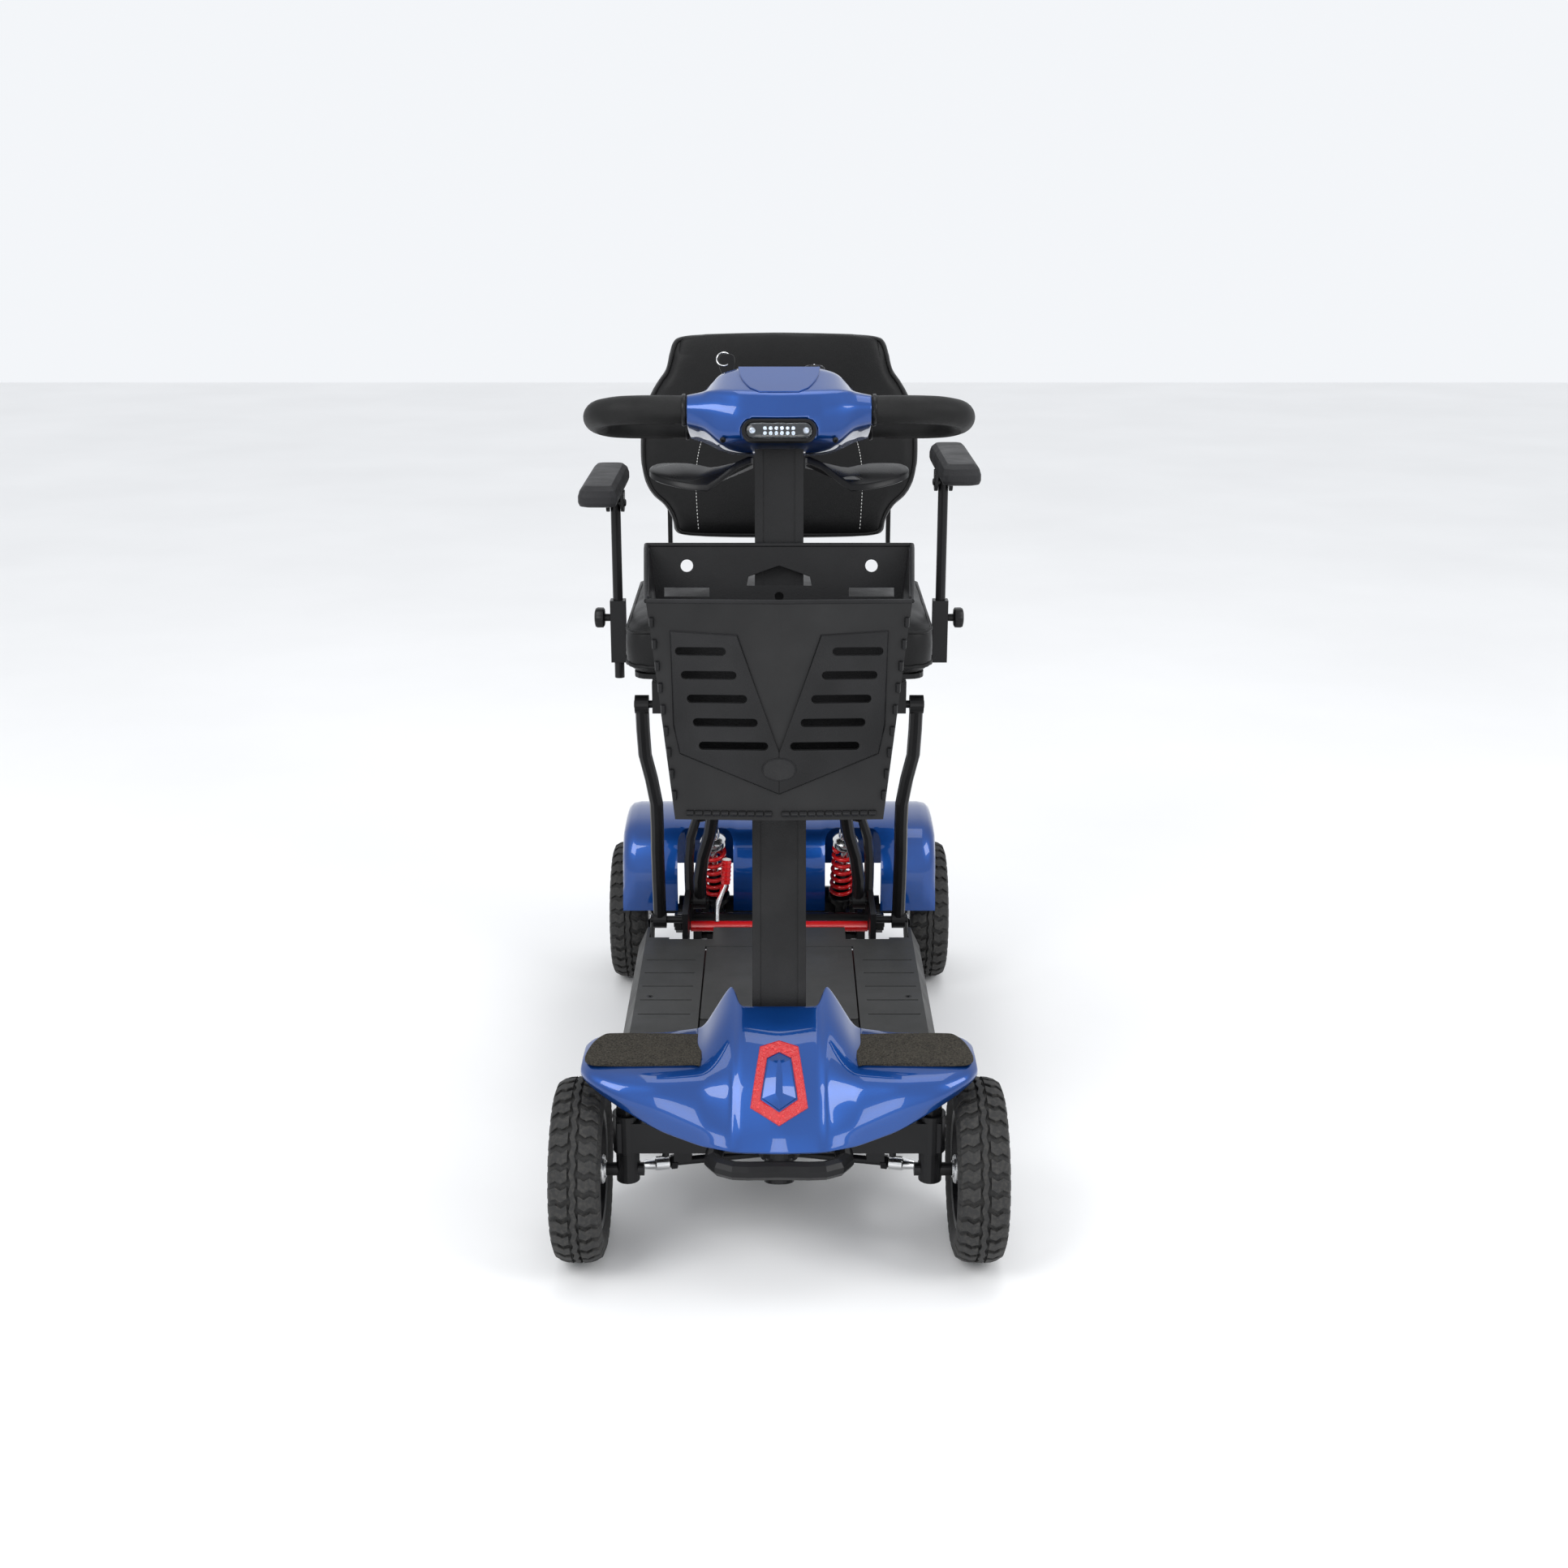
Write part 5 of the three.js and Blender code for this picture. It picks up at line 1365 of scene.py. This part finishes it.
def arm_bracket(side, sign, top):
    """Two cheeks under the pad that clasp the post, with the pivot bolt."""
    pivot = top - 0.039
    shape = Shape()
    for cheek in (-1, 1):
        x = sign * POST_X + cheek * 0.0095
        outline = spline([(0, 0.160, pivot + 0.0145), (0, 0.163, pivot - 0.006), (0, 0.170, pivot - 0.0112),
                          (0, 0.180, pivot - 0.0112), (0, 0.187, pivot - 0.004),
                          (0, 0.189, pivot + 0.0145)], 4)
        shape.rings([[Vector((x + off, p.y, p.z)) for p in outline] for off in (-0.0021, 0.0021)])
    obj = shape.piece(f"arm_bracket_{side}", f"armrest_{side}", "smooth_plastic",
                      (f"armrest_pad_{side}",), 40)
    soften(obj, 0.0006)
    pins = Shape()
    for cheek in (-1, 1):
        bolt(pins, (sign * POST_X + cheek * 0.0116, 0.174, pivot), (cheek, 0, 0), 4.8, 2.4)
    pins.piece(f"arm_pivot_{side}", f"armrest_{side}", "black_frame", (), 34, slot="steel")


def arm_knob(side, sign):
    """A clamping knob with six lobes."""
    low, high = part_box(f"armrest_knob_{side}")
    centre = Vector((0, (low[1] + high[1]) / 2, (low[2] + high[2]) / 2))
    out = high[0] if sign > 0 else -low[0]
    rings = []
    for radius, reach in ((0.0048, out - 0.0205), (0.0050, out - 0.0135), (0.0110, out - 0.0132),
                          (0.0136, out - 0.0115), (0.0138, out - 0.0040), (0.0124, out - 0.0012),
                          (0.0080, out)):
        ring = []
        for k in range(60):
            a = TURN * k / 60
            lobe = 1 - 0.09 * (radius > 0.0105) * (0.5 - 0.5 * math.cos(a * 6))
            ring.append(Vector((sign * reach, centre.y + radius * lobe * math.cos(a),
                                centre.z + radius * lobe * math.sin(a))))
        rings.append(ring)
    Shape().rings(rings).piece(f"clamp_knob_{side}", f"armrest_knob_{side}", "smooth_plastic",
                               (f"armrest_knob_{side}",), 40)


# ---- folding release lever ----
def lever_trim():
    """The bright stem, the ribs of the red grip and its pale cap on the release lever."""
    stem = Shape()
    stem.tube(spline(metres([(-88, 229, 149), (-88, 232, 160), (-87, 235, 171), (-81, 240, 188),
                             (-76, 244, 201)]),
                     4), 4.1, 16)
    stem.piece("lever_stem", "fold_release", "steel", (), 40)
    ribs = Shape()
    low, high = Vector((-0.076, 0.244, 0.201)), Vector((-0.074, 0.249, 0.234))
    along = (high - low).normalized()
    for k in range(5):
        reach = 4 + 6 * k
        ribs.lathe([(6.2, reach), (7.3, reach + 0.8), (7.3, reach + 2.2), (6.2, reach + 3)],
                   low, along, 24)
    ribs.piece("lever_ribs", "fold_release", "red_paint", (), 40)
    cap = Shape().lathe([(6, 32.5), (6.4, 33.8), (5.8, 35.2), (3, 36)], low, along, 24)
    cap.piece("lever_cap", "fold_release", "white_thread", (), 50, slot="steel")


# ---- camera, light and floor ----
CAMERA_PLACE = (0, -2.341, 1.163)
CAMERA_PITCH = math.radians(72.5)
CAMERA_LENS = 44.72
CAMERA_SHIFT = 0.0031
# Soft lamps: (place, turn in degrees, width, watts).
LAMPS = (((-1.9, -2.2, 2.7), (48, 0, -40), 1.6, 46), ((2.3, -1.6, 2.2), (56, 0, 55), 1.3, 30),
         ((0.3, 0.1, 3.2), (0, 0, 0), 1.6, 16), ((0, -2.6, 0.7), (84, 0, 0), 0.8, 7))


def studio():
    camera = link("camera", bpy.data.cameras.new("camera"))
    camera.location = CAMERA_PLACE
    camera.rotation_euler = (CAMERA_PITCH, 0, 0)
    camera.data.sensor_width = 36
    camera.data.lens = CAMERA_LENS
    camera.data.shift_x = CAMERA_SHIFT
    scene.camera = camera
    ground = new_object("floor", [(-8, -5, 0), (8, -5, 0), (8, 9, 0), (-8, 9, 0)], [(0, 1, 2, 3)])
    ground.data.materials.append(surface("studio_floor", (0.86, 0.86, 0.86), (0.9, 0.9, 0.9), (0.6, 0.75),
                                         0,
                                   (("Noise", 60, 0.02, 0.0005),), 1.5))
    for place, turn, size, power in LAMPS:
        data = bpy.data.lights.new("soft", "AREA")
        data.size = size
        data.energy = power
        lamp = link("soft", data)
        lamp.location = place
        lamp.rotation_euler = [math.radians(a) for a in turn]
    world = bpy.data.worlds.new("studio")
    world.use_nodes = True
    world.node_tree.nodes["Background"].inputs["Color"].default_value = (0.95, 0.97, 1.0, 1)
    world.node_tree.nodes["Background"].inputs["Strength"].default_value = 0.95
    scene.world = world
    scene.view_settings.view_transform = "Standard"


studio()
keep_cad_parts()
for make in (wheels, front_cowl, tiller_head, handlebars, headlight, throttle_paddles, ignition_key,
             speed_dial,
             rear_shroud, shocks, tie_rods, basket_emboss, seat_cushion, backrest_cushion, armrests,
             lever_trim):
    make()
